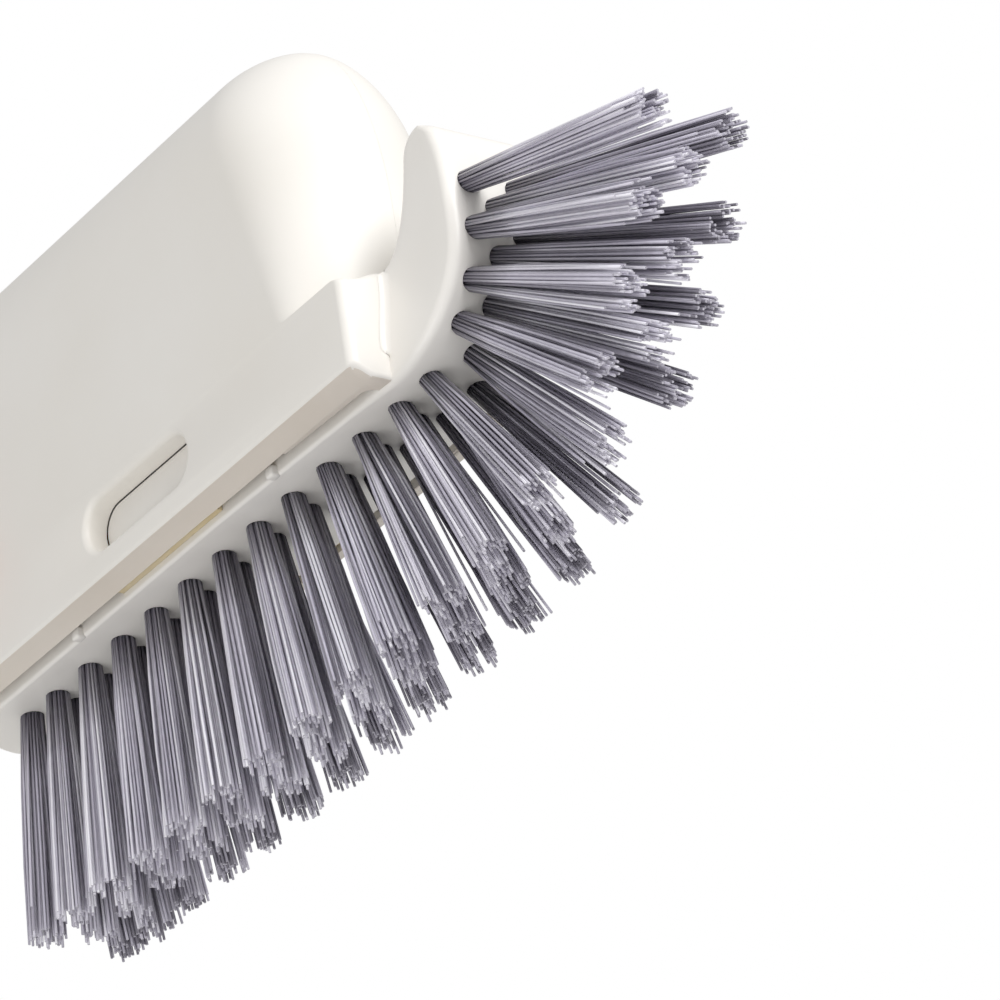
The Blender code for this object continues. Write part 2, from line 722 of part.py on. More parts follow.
def make_carrier(sole_start, sole_end):
    plate = plan_solid("carrier_plate", sole_plan(0.0, BLOCK_X - 1), 0.0, PLATE)
    carrier = add_object("bristle_carrier", plate.data.copy(), PARTS, "Off-white ABS")
    bpy.data.objects.remove(plate, do_unlink=True)
    side = SOLE_HALF_WIDTH
    slot_x = SLOT_FRONT_X - SLOT_LENGTH / 2
    slot_rear = SLOT_FRONT_X - SLOT_LENGTH
    join(carrier, side_solid("fin", fin_outline(), SOLE_HALF_WIDTH_FRONT, FIN_EDGE))
    pad = stadium((slot_x, SLOT_Z), SLOT_LENGTH - 2 * PAD_MARGIN, SLOT_HEIGHT - 2 * PAD_MARGIN)
    for sign, label in ((-1, "near"), (1, "far")):
        rail_y = sorted((sign * (side - PAD), sign * (side - PAD - RAIL)))
        prong_y = sorted((sign * side, sign * (side - PRONG_THICK)))
        low = (slot_rear - RAIL_OVERHANG + 2, rail_y[0], PLATE / 2)
        rail = box(label + "_rail", low, (SLOT_FRONT_X + RAIL_OVERHANG, rail_y[1], RAIL_TOP_Z))
        prong = box(
            label + "_prong",
            (PRONG_X, prong_y[0], PLATE / 2),
            (PRONG_X + PRONG_LENGTH, prong_y[1], PRONG_TOP_Z),
        )
        face = side_solid(label + "_pad", pad, PAD, y=sign * (side - PAD))
        join(carrier, rail, prong, face)
        for x in (FRAME_REAR_X - 1, FRAME_FRONT_X + 1):
            edge_y = sign * (sole_half_width(x) - NUB / 2)
            nub_low = (x - NUB / 2, edge_y - NUB / 2, -NUB_PROUD)
            join(carrier, box(f"{label}_nub_{x}", nub_low, (x + NUB / 2, edge_y + NUB / 2, NUB - NUB_PROUD)))
    window_x = PRONG_X + (PRONG_LENGTH - WINDOW_LENGTH) / 2
    window_low = (window_x, -side - 1, BUTTON_Z - WINDOW_HEIGHT / 2)
    window = box("catch_window", window_low, (window_x + WINDOW_LENGTH, side + 1, BUTTON_Z + WINDOW_HEIGHT / 2))
    layer = sole_band(sole_start - GAP, sole_end + GAP, STRIP + GAP, proud=1.0)
    cut(carrier, window, side_solid("tuft_channel", layer, 1.5 * ROW_SPACING + GAP / 2))
    return carrier


def make_button(name, side):
    """A coral push button with its flange, spring spigot and the arm of its catch."""
    face = HALF_WIDTH + BUTTON_PROUD
    flange_out = HALF_WIDTH - WALL - GAP
    flange_in = flange_out - FLANGE
    rim = BUTTON_RADIUS + FLANGE_LIP
    profile = [
        (0, face - BUTTON_DISH),
        (BUTTON_RADIUS * 0.45, face - BUTTON_DISH * 0.75),
        (BUTTON_RADIUS * 0.8, face - BUTTON_DISH * 0.1),
        (BUTTON_RADIUS - 0.9, face),
        (BUTTON_RADIUS - 0.25, face - 0.3),
        (BUTTON_RADIUS, face - 0.9),
        (BUTTON_RADIUS, flange_out),
        (rim, flange_out),
        (rim, flange_in),
        (SPIGOT_RADIUS, flange_in),
        (SPIGOT_RADIUS, flange_in - SPIGOT_LENGTH),
        (0, flange_in - SPIGOT_LENGTH),
    ]
    button = turned(name, profile, (BUTTON_X, BUTTON_Z), side, "Coral ABS")
    prong_in = SOLE_HALF_WIDTH - PRONG_THICK
    arm_out = prong_in - GAP
    arm_y = sorted((side * (arm_out - 0.7), side * (arm_out - 0.7 - ARM_THICK)))
    root_y = sorted((side * (flange_in + 0.4), side * (arm_out - 0.7 - ARM_THICK)))
    half = ARM_HEIGHT / 2
    tip_x = PRONG_X + PRONG_LENGTH / 2
    catch_y = sorted((side * arm_out, side * (arm_out - 1.2)))
    root_x = BUTTON_X + SPRING_RADIUS + SPRING_WIRE + 0.8
    join(
        button,
        box(name + "_root", (root_x, root_y[0], BUTTON_Z - half), (root_x + 2.0, root_y[1], BUTTON_Z + half)),
        box(name + "_arm", (root_x, arm_y[0], BUTTON_Z - half), (tip_x + 0.8, arm_y[1], BUTTON_Z + half)),
        box(name + "_catch", (tip_x - 0.8, catch_y[0], BUTTON_Z - 1.2), (tip_x + 0.8, catch_y[1], BUTTON_Z + 1.2)),
    )
    return button


def make_spring():
    """The spring that pushes both buttons outwards, round their spigots."""
    reach = HALF_WIDTH - WALL - GAP - FLANGE - GAP - SPRING_WIRE / 2
    curve = bpy.data.curves.new("button_spring", "CURVE")
    curve.dimensions = "3D"
    curve.bevel_depth = SPRING_WIRE / 2 * MM
    curve.bevel_resolution = 1
    curve.use_fill_caps = True
    spline = curve.splines.new("POLY")
    count = SPRING_TURNS * 12 + 1
    spline.points.add(count - 1)
    for i, point in enumerate(spline.points):
        turn = i / (count - 1) * SPRING_TURNS * math.tau
        y = -reach + 2 * reach * i / (count - 1)
        x = BUTTON_X + SPRING_RADIUS * math.cos(turn)
        z = BUTTON_Z + SPRING_RADIUS * math.sin(turn)
        point.co = (x * MM, y * MM, z * MM, 1.0)
    spring = bpy.data.objects.new("button_spring", curve)
    curve.materials.append(material("Zinc-plated steel"))
    PARTS.objects.link(spring)
    return spring


def move_origin():
    """Hangs everything on an empty, so that the world's origin is below the middle, at the bristle tips."""
    strands = [obj for obj in HELPERS.objects if obj.name.endswith("_strands")]
    toe_x = max(vert.co.x for obj in strands for vert in obj.data.vertices)
    base = bpy.data.objects.new("brush", None)
    PARTS.objects.link(base)
    base.location = (-(TAIL_X * MM + toe_x) / 2, 0.0, -STAND_Z * MM)
    for obj in list(PARTS.objects) + list(HELPERS.objects):
        if obj is not base:
            obj.parent = base


def shade(obj):
    if obj.type != "MESH":
        return
    obj.data.shade_smooth()
    obj.data.set_sharp_from_angle(angle=math.radians(32))


clear_scene()
PARTS = collection("cleaning_brush")
HELPERS = collection("cutters_and_joined_shapes", helper=True)
FORM = handle_form("handle_form")
CUTTERS = shell_cutters()
WALL_RING = side_solid(
    "hanging_hole_wall",
    stadium((HANG_X, HANG_Z), HANG_LENGTH + 2 * HANG_WALL, HANG_WIDTH + 2 * HANG_WALL),
    HALF_WIDTH - WALL / 2,
)
HANG_HOLE = side_solid(
    "hanging_hole", stadium((HANG_X, HANG_Z), HANG_LENGTH, HANG_WIDTH), HALF_WIDTH + 2
)
make_shell("near_shell", -1, FORM, CUTTERS, WALL_RING, HANG_HOLE)
make_shell("far_shell", 1, FORM, CUTTERS, WALL_RING, HANG_HOLE)
for number, spot in enumerate(SCREW_PLACES):
    make_screw(number, spot)
make_core_frame()
make_button("near_release_button", -1)
make_button("far_release_button", 1)
make_spring()
TUFTS, SOLE_START, SOLE_END = make_tuft_rows()
make_carrier(SOLE_START, SOLE_END)
for made_part in PARTS.objects:
    shade(made_part)
move_origin()
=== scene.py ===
# Cleaning brush with a J-shaped head, dressed for a plain studio picture.
# Sizes in the dictionaries are millimetres, angles are degrees. Heights count up from the sole and lengths
# forward from its rearmost tufts.
import math
import random

import bmesh
import bpy
import numpy as np
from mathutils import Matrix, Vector


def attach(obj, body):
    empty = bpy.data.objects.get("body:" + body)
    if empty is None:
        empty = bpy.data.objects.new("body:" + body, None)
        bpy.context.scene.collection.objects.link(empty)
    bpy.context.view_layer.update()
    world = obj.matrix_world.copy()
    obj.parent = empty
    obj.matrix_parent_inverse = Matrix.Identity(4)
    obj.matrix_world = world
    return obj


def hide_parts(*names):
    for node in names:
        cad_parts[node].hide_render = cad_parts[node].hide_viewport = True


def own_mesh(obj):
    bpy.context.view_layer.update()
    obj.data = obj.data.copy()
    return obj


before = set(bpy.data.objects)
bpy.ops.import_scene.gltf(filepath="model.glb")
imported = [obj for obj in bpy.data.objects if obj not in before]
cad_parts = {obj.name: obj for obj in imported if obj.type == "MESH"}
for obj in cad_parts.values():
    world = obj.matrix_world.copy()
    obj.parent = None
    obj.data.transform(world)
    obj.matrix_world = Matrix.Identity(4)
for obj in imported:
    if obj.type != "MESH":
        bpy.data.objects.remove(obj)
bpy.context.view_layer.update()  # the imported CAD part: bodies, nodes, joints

mm = 0.001
soleOrigin = Vector((6.507, 0.0, 23.9))  # where the sole's own zero lies in the part's frame
mergeDistance = 0.002


# small tools

def deselectAll():
    if bpy.context.object and bpy.context.object.mode != "OBJECT":
        bpy.ops.object.mode_set(mode="OBJECT")
    bpy.ops.object.select_all(action="DESELECT")


def selectOnly(*targets):  # the first one is made active
    deselectAll()
    for target in targets:
        target.select_set(True)
    bpy.context.view_layer.objects.active = targets[0]


def joined(parts):
    selectOnly(*parts)
    bpy.ops.object.join()
    return bpy.context.object


def clamped(value):
    return min(max(value, 0.0), 1.0)


def quarter(steps):
    return [math.pi / 2 * i / steps for i in range(steps + 1)]


def fullTurn(steps):
    return [math.tau * i / steps for i in range(steps)]


def place(x, y, z):
    return (Vector((x, y, z)) + soleOrigin) * mm


def srgb(hexText):
    parts = [int(hexText[i:i + 2], 16) / 255 for i in (1, 3, 5)]
    return [c / 12.92 if c <= 0.04045 else ((c + 0.055) / 1.055) ** 2.4 for c in parts] + [1.0]


def addNode(tree, kind, settings=None, links=None):
    node = tree.nodes.new(kind)
    for name, value in (settings or {}).items():
        if hasattr(node, name):
            setattr(node, name, value)
        else:
            node.inputs[name].default_value = value
    for name, socket in (links or {}).items():
        tree.links.new(socket, node.inputs[name])
    return node


def newMaterial(name, hexText, roughness, **sockets):
    made = bpy.data.materials.new(name)
    made.use_nodes = True
    shader = made.node_tree.nodes["Principled BSDF"]
    shader.inputs["Base Color"].default_value = srgb(hexText)
    shader.inputs["Roughness"].default_value = roughness
    for socket, value in sockets.items():
        shader.inputs[socket.replace("_", " ")].default_value = value
    return made, made.node_tree, shader


# camera, at the photograph's viewing angle: from the nose, the near side and below

cameraSetup = {
    "position": (524.872, -352.53, -284.96),
    "turn": (117.769, 7.766, 55.651),
    "lens": 259.31, "sensorWidth": 36.0, "clip": (0.02, 20.0),
}

cameraData = bpy.data.cameras.new("camera")
cameraData.lens = cameraSetup["lens"]
cameraData.sensor_width = cameraSetup["sensorWidth"]
cameraData.clip_start, cameraData.clip_end = cameraSetup["clip"]
camera = bpy.data.objects.new("camera", cameraData)
bpy.context.scene.collection.objects.link(camera)
camera.location = Vector(cameraSetup["position"]) * mm
camera.rotation_euler = [math.radians(a) for a in cameraSetup["turn"]]
bpy.context.scene.camera = camera
print("camera placed")


# stage: a pale floor well under the brush, and soft light from all round

stageSetup = {
    "floorDrop": 420.0, "floorSize": 6000.0, "floorColour": "#F7F7F6", "floorRoughness": 0.7,
    "frontLight": (900.0, -60.0, 420.0), "frontSize": 700.0, "frontPower": 7.5,
    "sideLight": (110.0, -430.0, -330.0), "sideSize": 380.0, "sidePower": 0.74,
    "lightAim": (30.0, 0.0, 10.0), "skyStrength": 0.52, "backdropStrength": 1.0,
}

deselectAll()
floorPlace = (0, 0, -stageSetup["floorDrop"] * mm)
bpy.ops.mesh.primitive_plane_add(size=stageSetup["floorSize"] * mm, location=floorPlace)
floor = bpy.context.object
floor.name = "floor"
# Matt white paint, rolled on and dry.
floorFinish, tree, shader = newMaterial("paintedFloor", stageSetup["floorColour"], stageSetup["floorRoughness"])
floor.data.materials.append(floorFinish)


def softLight(name, position, size, power):
    data = bpy.data.lights.new(name, "AREA")
    data.shape = "DISK"
    data.size = size * mm
    data.energy = power
    lamp = bpy.data.objects.new(name, data)
    bpy.context.scene.collection.objects.link(lamp)
    lamp.location = Vector(position) * mm
    lamp.visible_camera = False
    aim = place(*stageSetup["lightAim"]) - lamp.location
    lamp.rotation_euler = aim.to_track_quat("-Z", "Y").to_euler()


for side in ("front", "side"):
    softLight(side + "Light", stageSetup[side + "Light"], stageSetup[side + "Size"], stageSetup[side + "Power"])

world = bpy.data.worlds.new("studio")
bpy.context.scene.world = world
world.use_nodes = True
sky = world.node_tree.nodes["Background"]
sky.inputs["Color"].default_value = (1.0, 1.0, 1.0, 1.0)
sky.inputs["Strength"].default_value = stageSetup["skyStrength"]
backdropLook = {"Color": (1.0, 1.0, 1.0, 1.0), "Strength": stageSetup["backdropStrength"]}
backdrop = addNode(world.node_tree, "ShaderNodeBackground", backdropLook)
seen = addNode(world.node_tree, "ShaderNodeLightPath")
mixed = addNode(world.node_tree, "ShaderNodeMixShader", links={"Fac": seen.outputs["Is Camera Ray"]})
world.node_tree.links.new(sky.outputs["Background"], mixed.inputs[1])
world.node_tree.links.new(backdrop.outputs["Background"], mixed.inputs[2])
world.node_tree.links.new(mixed.outputs["Shader"], world.node_tree.nodes["World Output"].inputs["Surface"])
bpy.context.scene.view_settings.view_transform = "Standard"
print("stage and light ready")


# finishes

speckle = {"cloudDetail": 4.0, "pitDetail": 3.0, "darkStop": 0.3, "lightStop": 0.7, "bumpStrength": 0.5}


def noise(tree, size, detail):  # noise whose patches are about size millimetres wide
    spots = addNode(tree, "ShaderNodeTexCoord")
    settings = {"Scale": 1 / (size * mm), "Detail": detail}
    return addNode(tree, "ShaderNodeTexNoise", settings, {"Vector": spots.outputs["Object"]}).outputs["Fac"]


def colourRamp(tree, share, first, last):  # first and last are (position, colour)
    ramp = addNode(tree, "ShaderNodeValToRGB", links={"Fac": share})
    for stop, (position, colour) in zip(ramp.color_ramp.elements, (first, last)):
        stop.position, stop.color = position, colour
    return ramp


def speckled(tree, shader, dark, light, patch, grain, relief, gloss):
    cloud = noise(tree, patch, speckle["cloudDetail"])
    tint = colourRamp(tree, cloud, (speckle["darkStop"], srgb(dark)), (speckle["lightStop"], srgb(light)))
    pits = noise(tree, grain, speckle["pitDetail"])
    shine = addNode(tree, "ShaderNodeMapRange", {"To Min": gloss[0], "To Max": gloss[1]}, {"Value": pits})
    depth = {"Strength": speckle["bumpStrength"], "Distance": relief * mm}
    bump = addNode(tree, "ShaderNodeBump", depth, {"Height": pits})
    tree.links.new(tint.outputs["Color"], shader.inputs["Base Color"])
    tree.links.new(shine.outputs["Result"], shader.inputs["Roughness"])
    tree.links.new(bump.outputs["Normal"], shader.inputs["Normal"])


# Injection-moulded ABS from a lightly spark-eroded tool: warm off-white, satin, with a bloom that softens highlights.
absWhite, tree, shader = newMaterial("satinMouldedAbs", "#EDE9E3", 0.42, IOR=1.53)
speckled(tree, shader, "#EBE7E0", "#EFECE7", 24.0, 0.4, 0.004, (0.38, 0.46))

# The same ABS with painted shade for the underside of the rim: darker and warmer, standing in for its shade and for
# warm light bounced up from the core's amber and the floor.
absRimPaintedShade, tree, shader = newMaterial("mouldedAbsUnderRimPaintedShade", "#DAD1C6", 0.46, IOR=1.53)
speckled(tree, shader, "#D5CBBE", "#DFD7CD", 24.0, 0.4, 0.004, (0.42, 0.5))

# The head's own ABS, from a better polished tool: the same white with a tighter shine.
absHead, tree, shader = newMaterial("polishedMouldedAbs", "#EEEAE5", 0.36, IOR=1.53)
speckled(tree, shader, "#ECE8E2", "#F0EDE8", 18.0, 0.3, 0.003, (0.32, 0.4))

# Extruded nylon filament, 0.27 mm thick: every filament has its own grey, fine lengthwise drawing lines and a
# sharp narrow shine, with each row's grey shifted by painted shade. Painted shade darkens it where it comes out of its
# hole, for the shade between the packed filaments.
nylon = {
    "streak": 0.9, "streakDetail": 2.0, "streakShare": 0.16,
    "darkest": (0.08, srgb("#716D79")), "middle": (0.56, srgb("#C8C4D2")), "palest": (1.05, srgb("#F8F6FD")),
    # painted shade: the grey at the hole and clear of it
    "shadedAtHole": (0.0, srgb("#8A8790")), "inTheOpen": (1.0, (1.0, 1.0, 1.0, 1.0)),
}
nylonGrey, tree, shader = newMaterial("drawnNylonFilament", "#B4B1BE", 0.3, IOR=1.53)
tone = addNode(tree, "ShaderNodeAttribute", {"attribute_name": "tone"})
along = addNode(tree, "ShaderNodeAttribute", {"attribute_name": "along"})
streaks = noise(tree, nylon["streak"], nylon["streakDetail"])
wear = addNode(tree, "ShaderNodeMath", {"operation": "MULTIPLY_ADD"}, {0: streaks, 2: tone.outputs["Fac"]})
wear.inputs[1].default_value = nylon["streakShare"]
grey = colourRamp(tree, wear.outputs["Value"], nylon["darkest"], nylon["palest"])
grey.color_ramp.elements.new(nylon["middle"][0]).color = nylon["middle"][1]
# painted shade: the grey is multiplied darker near the hole, for the shade between the packed filaments
shade = colourRamp(tree, along.outputs["Fac"], nylon["shadedAtHole"], nylon["inTheOpen"])
both = addNode(tree, "ShaderNodeMix", {"data_type": "RGBA", "blend_type": "MULTIPLY", "Factor": 1.0})
tree.links.new(grey.outputs["Color"], both.inputs[6])
tree.links.new(shade.outputs["Color"], both.inputs[7])
tree.links.new(both.outputs[2], shader.inputs["Base Color"])

# Wall of a drilled tuft hole: the head's ABS, raw from the drill, with painted shade: dark grey for the shade down the
# hole.
holeShade, tree, shader = newMaterial("drilledAbsHolePaintedShade", "#4A4644", 0.6, IOR=1.53)
speckled(tree, shader, "#423E3C", "#534F4C", 1.2, 0.2, 0.01, (0.55, 0.68))

# Trimmed end of a filament: pale and matt where the knife crossed the nylon.
nylonEnd, tree, shader = newMaterial("trimmedNylonEnd", "#ADAAB3", 0.5, IOR=1.53)
speckled(tree, shader, "#9D9AA4", "#BDBAC4", 0.5, 0.12, 0.005, (0.45, 0.6))

# Natural polypropylene with an amber dye, moulded: waxy, lets light through and glows at its edges.
amber, tree, shader = newMaterial("dyedPolypropylene", "#EBD3A0", 0.34, IOR=1.49, Transmission_Weight=0.25)
speckled(tree, shader, "#EDD8A8", "#F4E5C4", 6.0, 0.4, 0.004, (0.3, 0.4))

# Coral ABS, moulded in colour: satin, a little deeper in broad patches.
coral, tree, shader = newMaterial("coralMouldedAbs", "#E8705C", 0.38, IOR=1.53)
speckled(tree, shader, "#E46A56", "#EC7865", 9.0, 0.35, 0.005, (0.34, 0.43))

# Bright zinc plating on steel: cool grey with the passivation's faint warm and blue patches.
zinc, tree, shader = newMaterial("brightZincPlating", "#BEC0C4", 0.3, Metallic=1.0)
speckled(tree, shader, "#B4B7BE", "#CBC9C6", 1.6, 0.15, 0.002, (0.24, 0.36))


# solids lofted through closed rings of points, and cuts

def ringSolid(name, rings, finish=None):
    count, levels = len(rings[0]), len(rings)
    deselectAll()
    bpy.ops.mesh.primitive_grid_add(x_subdivisions=count, y_subdivisions=levels - 1, size=2.0)
    made = bpy.context.object
    made.name = name
    spots = []
    for vert in made.data.vertices:
        i = round((vert.co.x + 1) / 2 * count)
        j = round((vert.co.y + 1) / 2 * (levels - 1))
        spots.extend(place(*rings[j][i % count]))
    made.data.vertices.foreach_set("co", spots)
    made.data.update()
    bpy.ops.object.mode_set(mode="EDIT")
    bpy.ops.mesh.select_all(action="SELECT")
    bpy.ops.mesh.remove_doubles(threshold=mergeDistance * mm)
    bpy.ops.mesh.fill_holes(sides=0)
    bpy.ops.mesh.select_all(action="SELECT")
    bpy.ops.mesh.normals_make_consistent(inside=False)
    bpy.ops.object.mode_set(mode="OBJECT")
    if finish:
        made.data.materials.append(finish)
    return made


def planSolid(name, outline, low, high, finish=None):
    return ringSolid(name, [[(x, y, z) for x, y in outline] for z in (low, high)], finish)


def sideSolid(name, outline, near, far):
    return ringSolid(name, [[(x, y, z) for x, z in outline] for y in (near, far)])


def block(name, low, high, finish=None):
    corners = [(low[0], low[1]), (high[0], low[1]), (high[0], high[1]), (low[0], high[1])]
    return planSolid(name, corners, low[2], high[2], finish)


def sidedBlock(name, side, xs, ys, zs):  # ys are distances from the middle, on the side asked for
    low, high = sorted((side * ys[0], side * ys[1]))
    return block(name, (xs[0], low, zs[0]), (xs[1], high, zs[1]))


def applied(target, kind, **settings):
    modifier = target.modifiers.new(kind.title(), kind)
    for name, value in settings.items():
        setattr(modifier, name, value)
    selectOnly(target)
    bpy.ops.object.modifier_apply(modifier=modifier.name)


def combine(target, others, operation):
    for other in others:
        applied(target, "BOOLEAN", operation=operation, solver="MANIFOLD", object=other)
        bpy.data.objects.remove(other, do_unlink=True)


def chamfered(target, width, segments=2):
    corners = math.radians(40)
    applied(target, "BEVEL", width=width * mm, segments=segments, limit_method="ANGLE", angle_limit=corners)
    return target


def smoothShaded(target, angle=32):
    selectOnly(target)
    bpy.ops.object.shade_smooth_by_angle(angle=math.radians(angle))


def arc(centre, radius, start, end, steps):
    turns = [math.radians(start + (end - start) * i / steps) for i in range(steps + 1)]
    return [(centre[0] + radius * math.cos(a), centre[1] + radius * math.sin(a)) for a in turns]


def stadium(centre, length, width, steps=14):
    reach = (length - width) / 2
    front = arc((centre[0] + reach, centre[1]), width / 2, -90, 90, steps)
    return front + arc((centre[0] - reach, centre[1]), width / 2, 90, 270, steps)


# handle: a bar with a domed nose, a squared block under it and a cove behind the head

handle = {
    "halfWidth": 10.2, "rim": 1.2, "top": 44.7, "topRound": 13.0,
    "nose": 64.8, "noseArcFrom": 21.0, "noseArcRise": 22.8, "noseArcBack": 10.9,
    "turn": 58.3, "turnLean": math.tan(math.radians(15.1)),
    "tail": -124.0, "tailTurn": 13.0, "tailArcBack": 12.0,
    "grip": 12.0, "gripRound": 4.5, "gripFront": -8.7, "gripCove": 20.0,
    "sideFront": 12.0, "rimEdge": 0.5, "wall": 2.2,
    "ledge": 10.4, "ledgeEdge": 0.7, "ledgeFillet": 0.9, "ledgeGap": 0.02, "block": 68.6, "blockCorner": 1.0,
    "ledgeLift": 1.4, "liftFrom": 50.0, "liftMargin": 1.0, "liftWidth": 4.2, "liftBelow": 5.0, "liftAbove": 11.0,
    "liftFade": 9.0, "rimDrop": 0.85, "rimFlat": 7.9, "rimFade": 4.0, "seam": 0.008,
    "leastWidth": 0.15, "leastTurn": 0.3, "leastStep": 0.05, "crownGap": 0.004, "cavityCrownGap": 0.3,
    "noseSteps": 26, "cornerSteps": 8, "sideSteps": 28, "coveSteps": 32, "sideLevels": 10, "crownSteps": 24,
    "edgeSteps": 6, "cavityNoseSteps": 12,
}


def noseTip(z):
    if z <= handle["noseArcFrom"]:
        return handle["nose"]
    rise = clamped((z - handle["noseArcFrom"]) / handle["noseArcRise"])
    return handle["nose"] - handle["noseArcBack"] * (1 - math.sqrt(1 - rise * rise))


def crownShare(z):
    rise = max(z - (handle["top"] - handle["topRound"]), 0.0) / handle["topRound"]
    return math.sqrt(max(1 - rise * rise, 0.0))


def underside(share):
    return handle["rim"] + (handle["grip"] - handle["rim"]) * math.sin(math.pi / 2 * share)


def coveShare(z):
    return math.asin(clamped((z - handle["rim"]) / (handle["grip"] - handle["rim"]))) / (math.pi / 2)


def edgeInset(z, share):
    radius = handle["rimEdge"] + (handle["gripRound"] - handle["rimEdge"]) * share
    depth = clamped((underside(share) + radius - z) / radius)
    return radius * (1 - math.sqrt(1 - depth * depth))


def noseFront(z, wide, inset, steps):
    tip = noseTip(z) - inset
    turn = min(handle["turn"] - handle["turnLean"] * (z - handle["ledge"]), tip - handle["leastTurn"])
    turns = [math.pi / 2 * i / steps for i in range(-steps, steps + 1)]
    return [(turn + (tip - turn) * math.cos(a), wide * math.sin(a)) for a in turns]


def blockFront(z, wide, steps):
    corner, flatSteps = handle["blockCorner"], steps - handle["cornerSteps"]
    tip = handle["block"] - edgeInset(z, 0.0)
    far = arc((tip - corner, wide - corner), corner, 90, 0, handle["cornerSteps"])
    flat = [(tip, (wide - corner) * i / flatSteps) for i in range(flatSteps)]
    half = far + flat[::-1]
    return [(x, -y) for x, y in half] + half[-2::-1]


# One level of the handle: round the nose or the squared block, along the far side, round the tail or across the
# cove, and back along the near side. Every ring has the same number of points.
def planRing(z, grip, squared, inset=0.0, steps=handle["noseSteps"]):
    wide = max(handle["halfWidth"] * crownShare(z) - inset, handle["leastWidth"])
    endShare = 1.0 if grip else coveShare(z)
    endX = handle["gripFront"] - handle["gripCove"] * endShare
    side = []
    for i in range(handle["sideSteps"] + 1):
        x = handle["sideFront"] + (endX - handle["sideFront"]) * i / handle["sideSteps"]
        share = max(handle["gripFront"] - x, 0.0) / handle["gripCove"]
        side.append((x, max(wide - edgeInset(z, share), handle["leastWidth"])))
    frontWide, endWide = side[0][1], side[-1][1]
    found = blockFront(z, frontWide, steps) if squared else noseFront(z, frontWide, inset, steps)
    found += side
    for i in range(1 - steps, steps):
        angle = math.pi / 2 * i / steps
        if grip:
            tailTip = handle["tail"] + handle["tailArcBack"] * (1 - crownShare(z)) + inset + edgeInset(z, 1.0)
            turnLength = handle["tailTurn"] * endWide / handle["halfWidth"]
            found.append((tailTip + turnLength * (1 - math.cos(angle)), -endWide * math.sin(angle)))
        else:
            found.append((endX, -endWide * i / steps))
    return found + [(x, -y) for x, y in reversed(side)]


def towards(ring, goal, distance):  # each point moved towards its match in goal, at most half way
    moved = []
    for (x, y), (gx, gy) in zip(ring, goal):
        gap = math.hypot(gx - x, gy - y)
        share = min(distance / gap, 0.5) if gap > 1e-6 else 0.0
        moved.append((x + (gx - x) * share, y + (gy - y) * share))
    return moved


def rimDrop(x, y):  # the rim slopes down from its edge to the groove over the head
    outer = handle["halfWidth"] - handle["rimEdge"]
    across = clamped((outer - abs(y)) / (outer - handle["rimFlat"]))
    return handle["rimDrop"] * across * clamped((x - handle["gripFront"]) / handle["rimFade"])


def rimRings(levels):
    flat, (z, ring) = handle["rimFlat"], levels[0]
    ring = [(x, min(max(y, -flat), flat)) for x, y in ring]
    return [[(x, y, z - rimDrop(x, y)) for x, y in ring] for z, ring in [(z, ring)] + levels]


def ledgeLift(x, y, z):  # the ledge and the nose's foot rise towards the middle
    if x < handle["liftFrom"]:
        return 0.0
    across = clamped((handle["halfWidth"] - handle["liftMargin"] - abs(y)) / handle["liftWidth"])
    below = clamped((z - handle["ledge"] + handle["liftBelow"]) / handle["liftBelow"])
    above = clamped((handle["ledge"] + handle["liftAbove"] - z) / handle["liftFade"])
    return handle["ledgeLift"] * across * across * (3 - 2 * across) * below * above


def handleRings():
    ledge, grip, edge, fillet = handle["ledge"], handle["grip"], handle["ledgeEdge"], handle["ledgeFillet"]
    levels = []
    for a in quarter(handle["edgeSteps"]):
        z = handle["rim"] + handle["rimEdge"] * (1 - math.cos(a))
        levels.append((z, planRing(z, False, True)))
    lowest = rimRings(levels)
    first = len(levels)
    lower, upper, least = ledge - edge, ledge + handle["ledgeGap"] + fillet, handle["leastStep"]
    cove = [underside((i + 1) / handle["coveSteps"]) for i in range(handle["coveSteps"])]
    for z in [z for z in cove if levels[-1][0] + least < z < lower - least] + [lower]:
        levels.append((z, planRing(z, False, True)))
    for a in quarter(handle["edgeSteps"])[1:]:
        z = ledge - edge * (1 - math.sin(a))
        levels.append((z, towards(planRing(z, False, True), planRing(z, False, False), edge * (1 - math.cos(a)))))
    for a in quarter(handle["edgeSteps"]):
        z = ledge + handle["ledgeGap"] + fillet * (1 - math.cos(a))
        levels.append((z, towards(planRing(z, False, False), planRing(z, False, True), fillet * (1 - math.sin(a)))))
    levels += [(z, planRing(z, False, False)) for z in cove if z > upper + handle["ledgeGap"]]
    levels.append((grip, planRing(grip, True, False)))
    full, crown = grip + handle["gripRound"], handle["top"] - handle["topRound"]
    sideLevels = handle["sideLevels"]
    heights = [grip + handle["gripRound"] * (1 - math.cos(a)) for a in quarter(sideLevels)[1:]]
    heights += [full + (crown - full) * (i + 1) / sideLevels for i in range(sideLevels)]
    heights += [crown + handle["topRound"] * math.sin(a) for a in quarter(handle["crownSteps"])[1:]]
    for z in heights:
        z = min(z, handle["top"] - handle["crownGap"])
        levels.append((z, planRing(z, True, False)))
    return lowest + [[(x, y, z + ledgeLift(x, y, z)) for x, y in ring] for z, ring in levels[first:]]


def cavityRings():
    floorZ, crown, wall = handle["grip"] + handle["gripRound"], handle["top"] - handle["topRound"], handle["wall"]
    inner = handle["topRound"] - wall
    heights = [floorZ, (floorZ + crown) / 2] + [crown + inner * math.sin(a) for a in quarter(handle["edgeSteps"])]
    rings = []
    for z in heights:
        level = z if z <= crown else crown + (z - crown) * handle["topRound"] / inner
        level = min(level, handle["top"] - handle["cavityCrownGap"])
        ring = planRing(level, True, False, wall, handle["cavityNoseSteps"])
        rings.append([(x, y, z) for x, y in ring])
    return rings


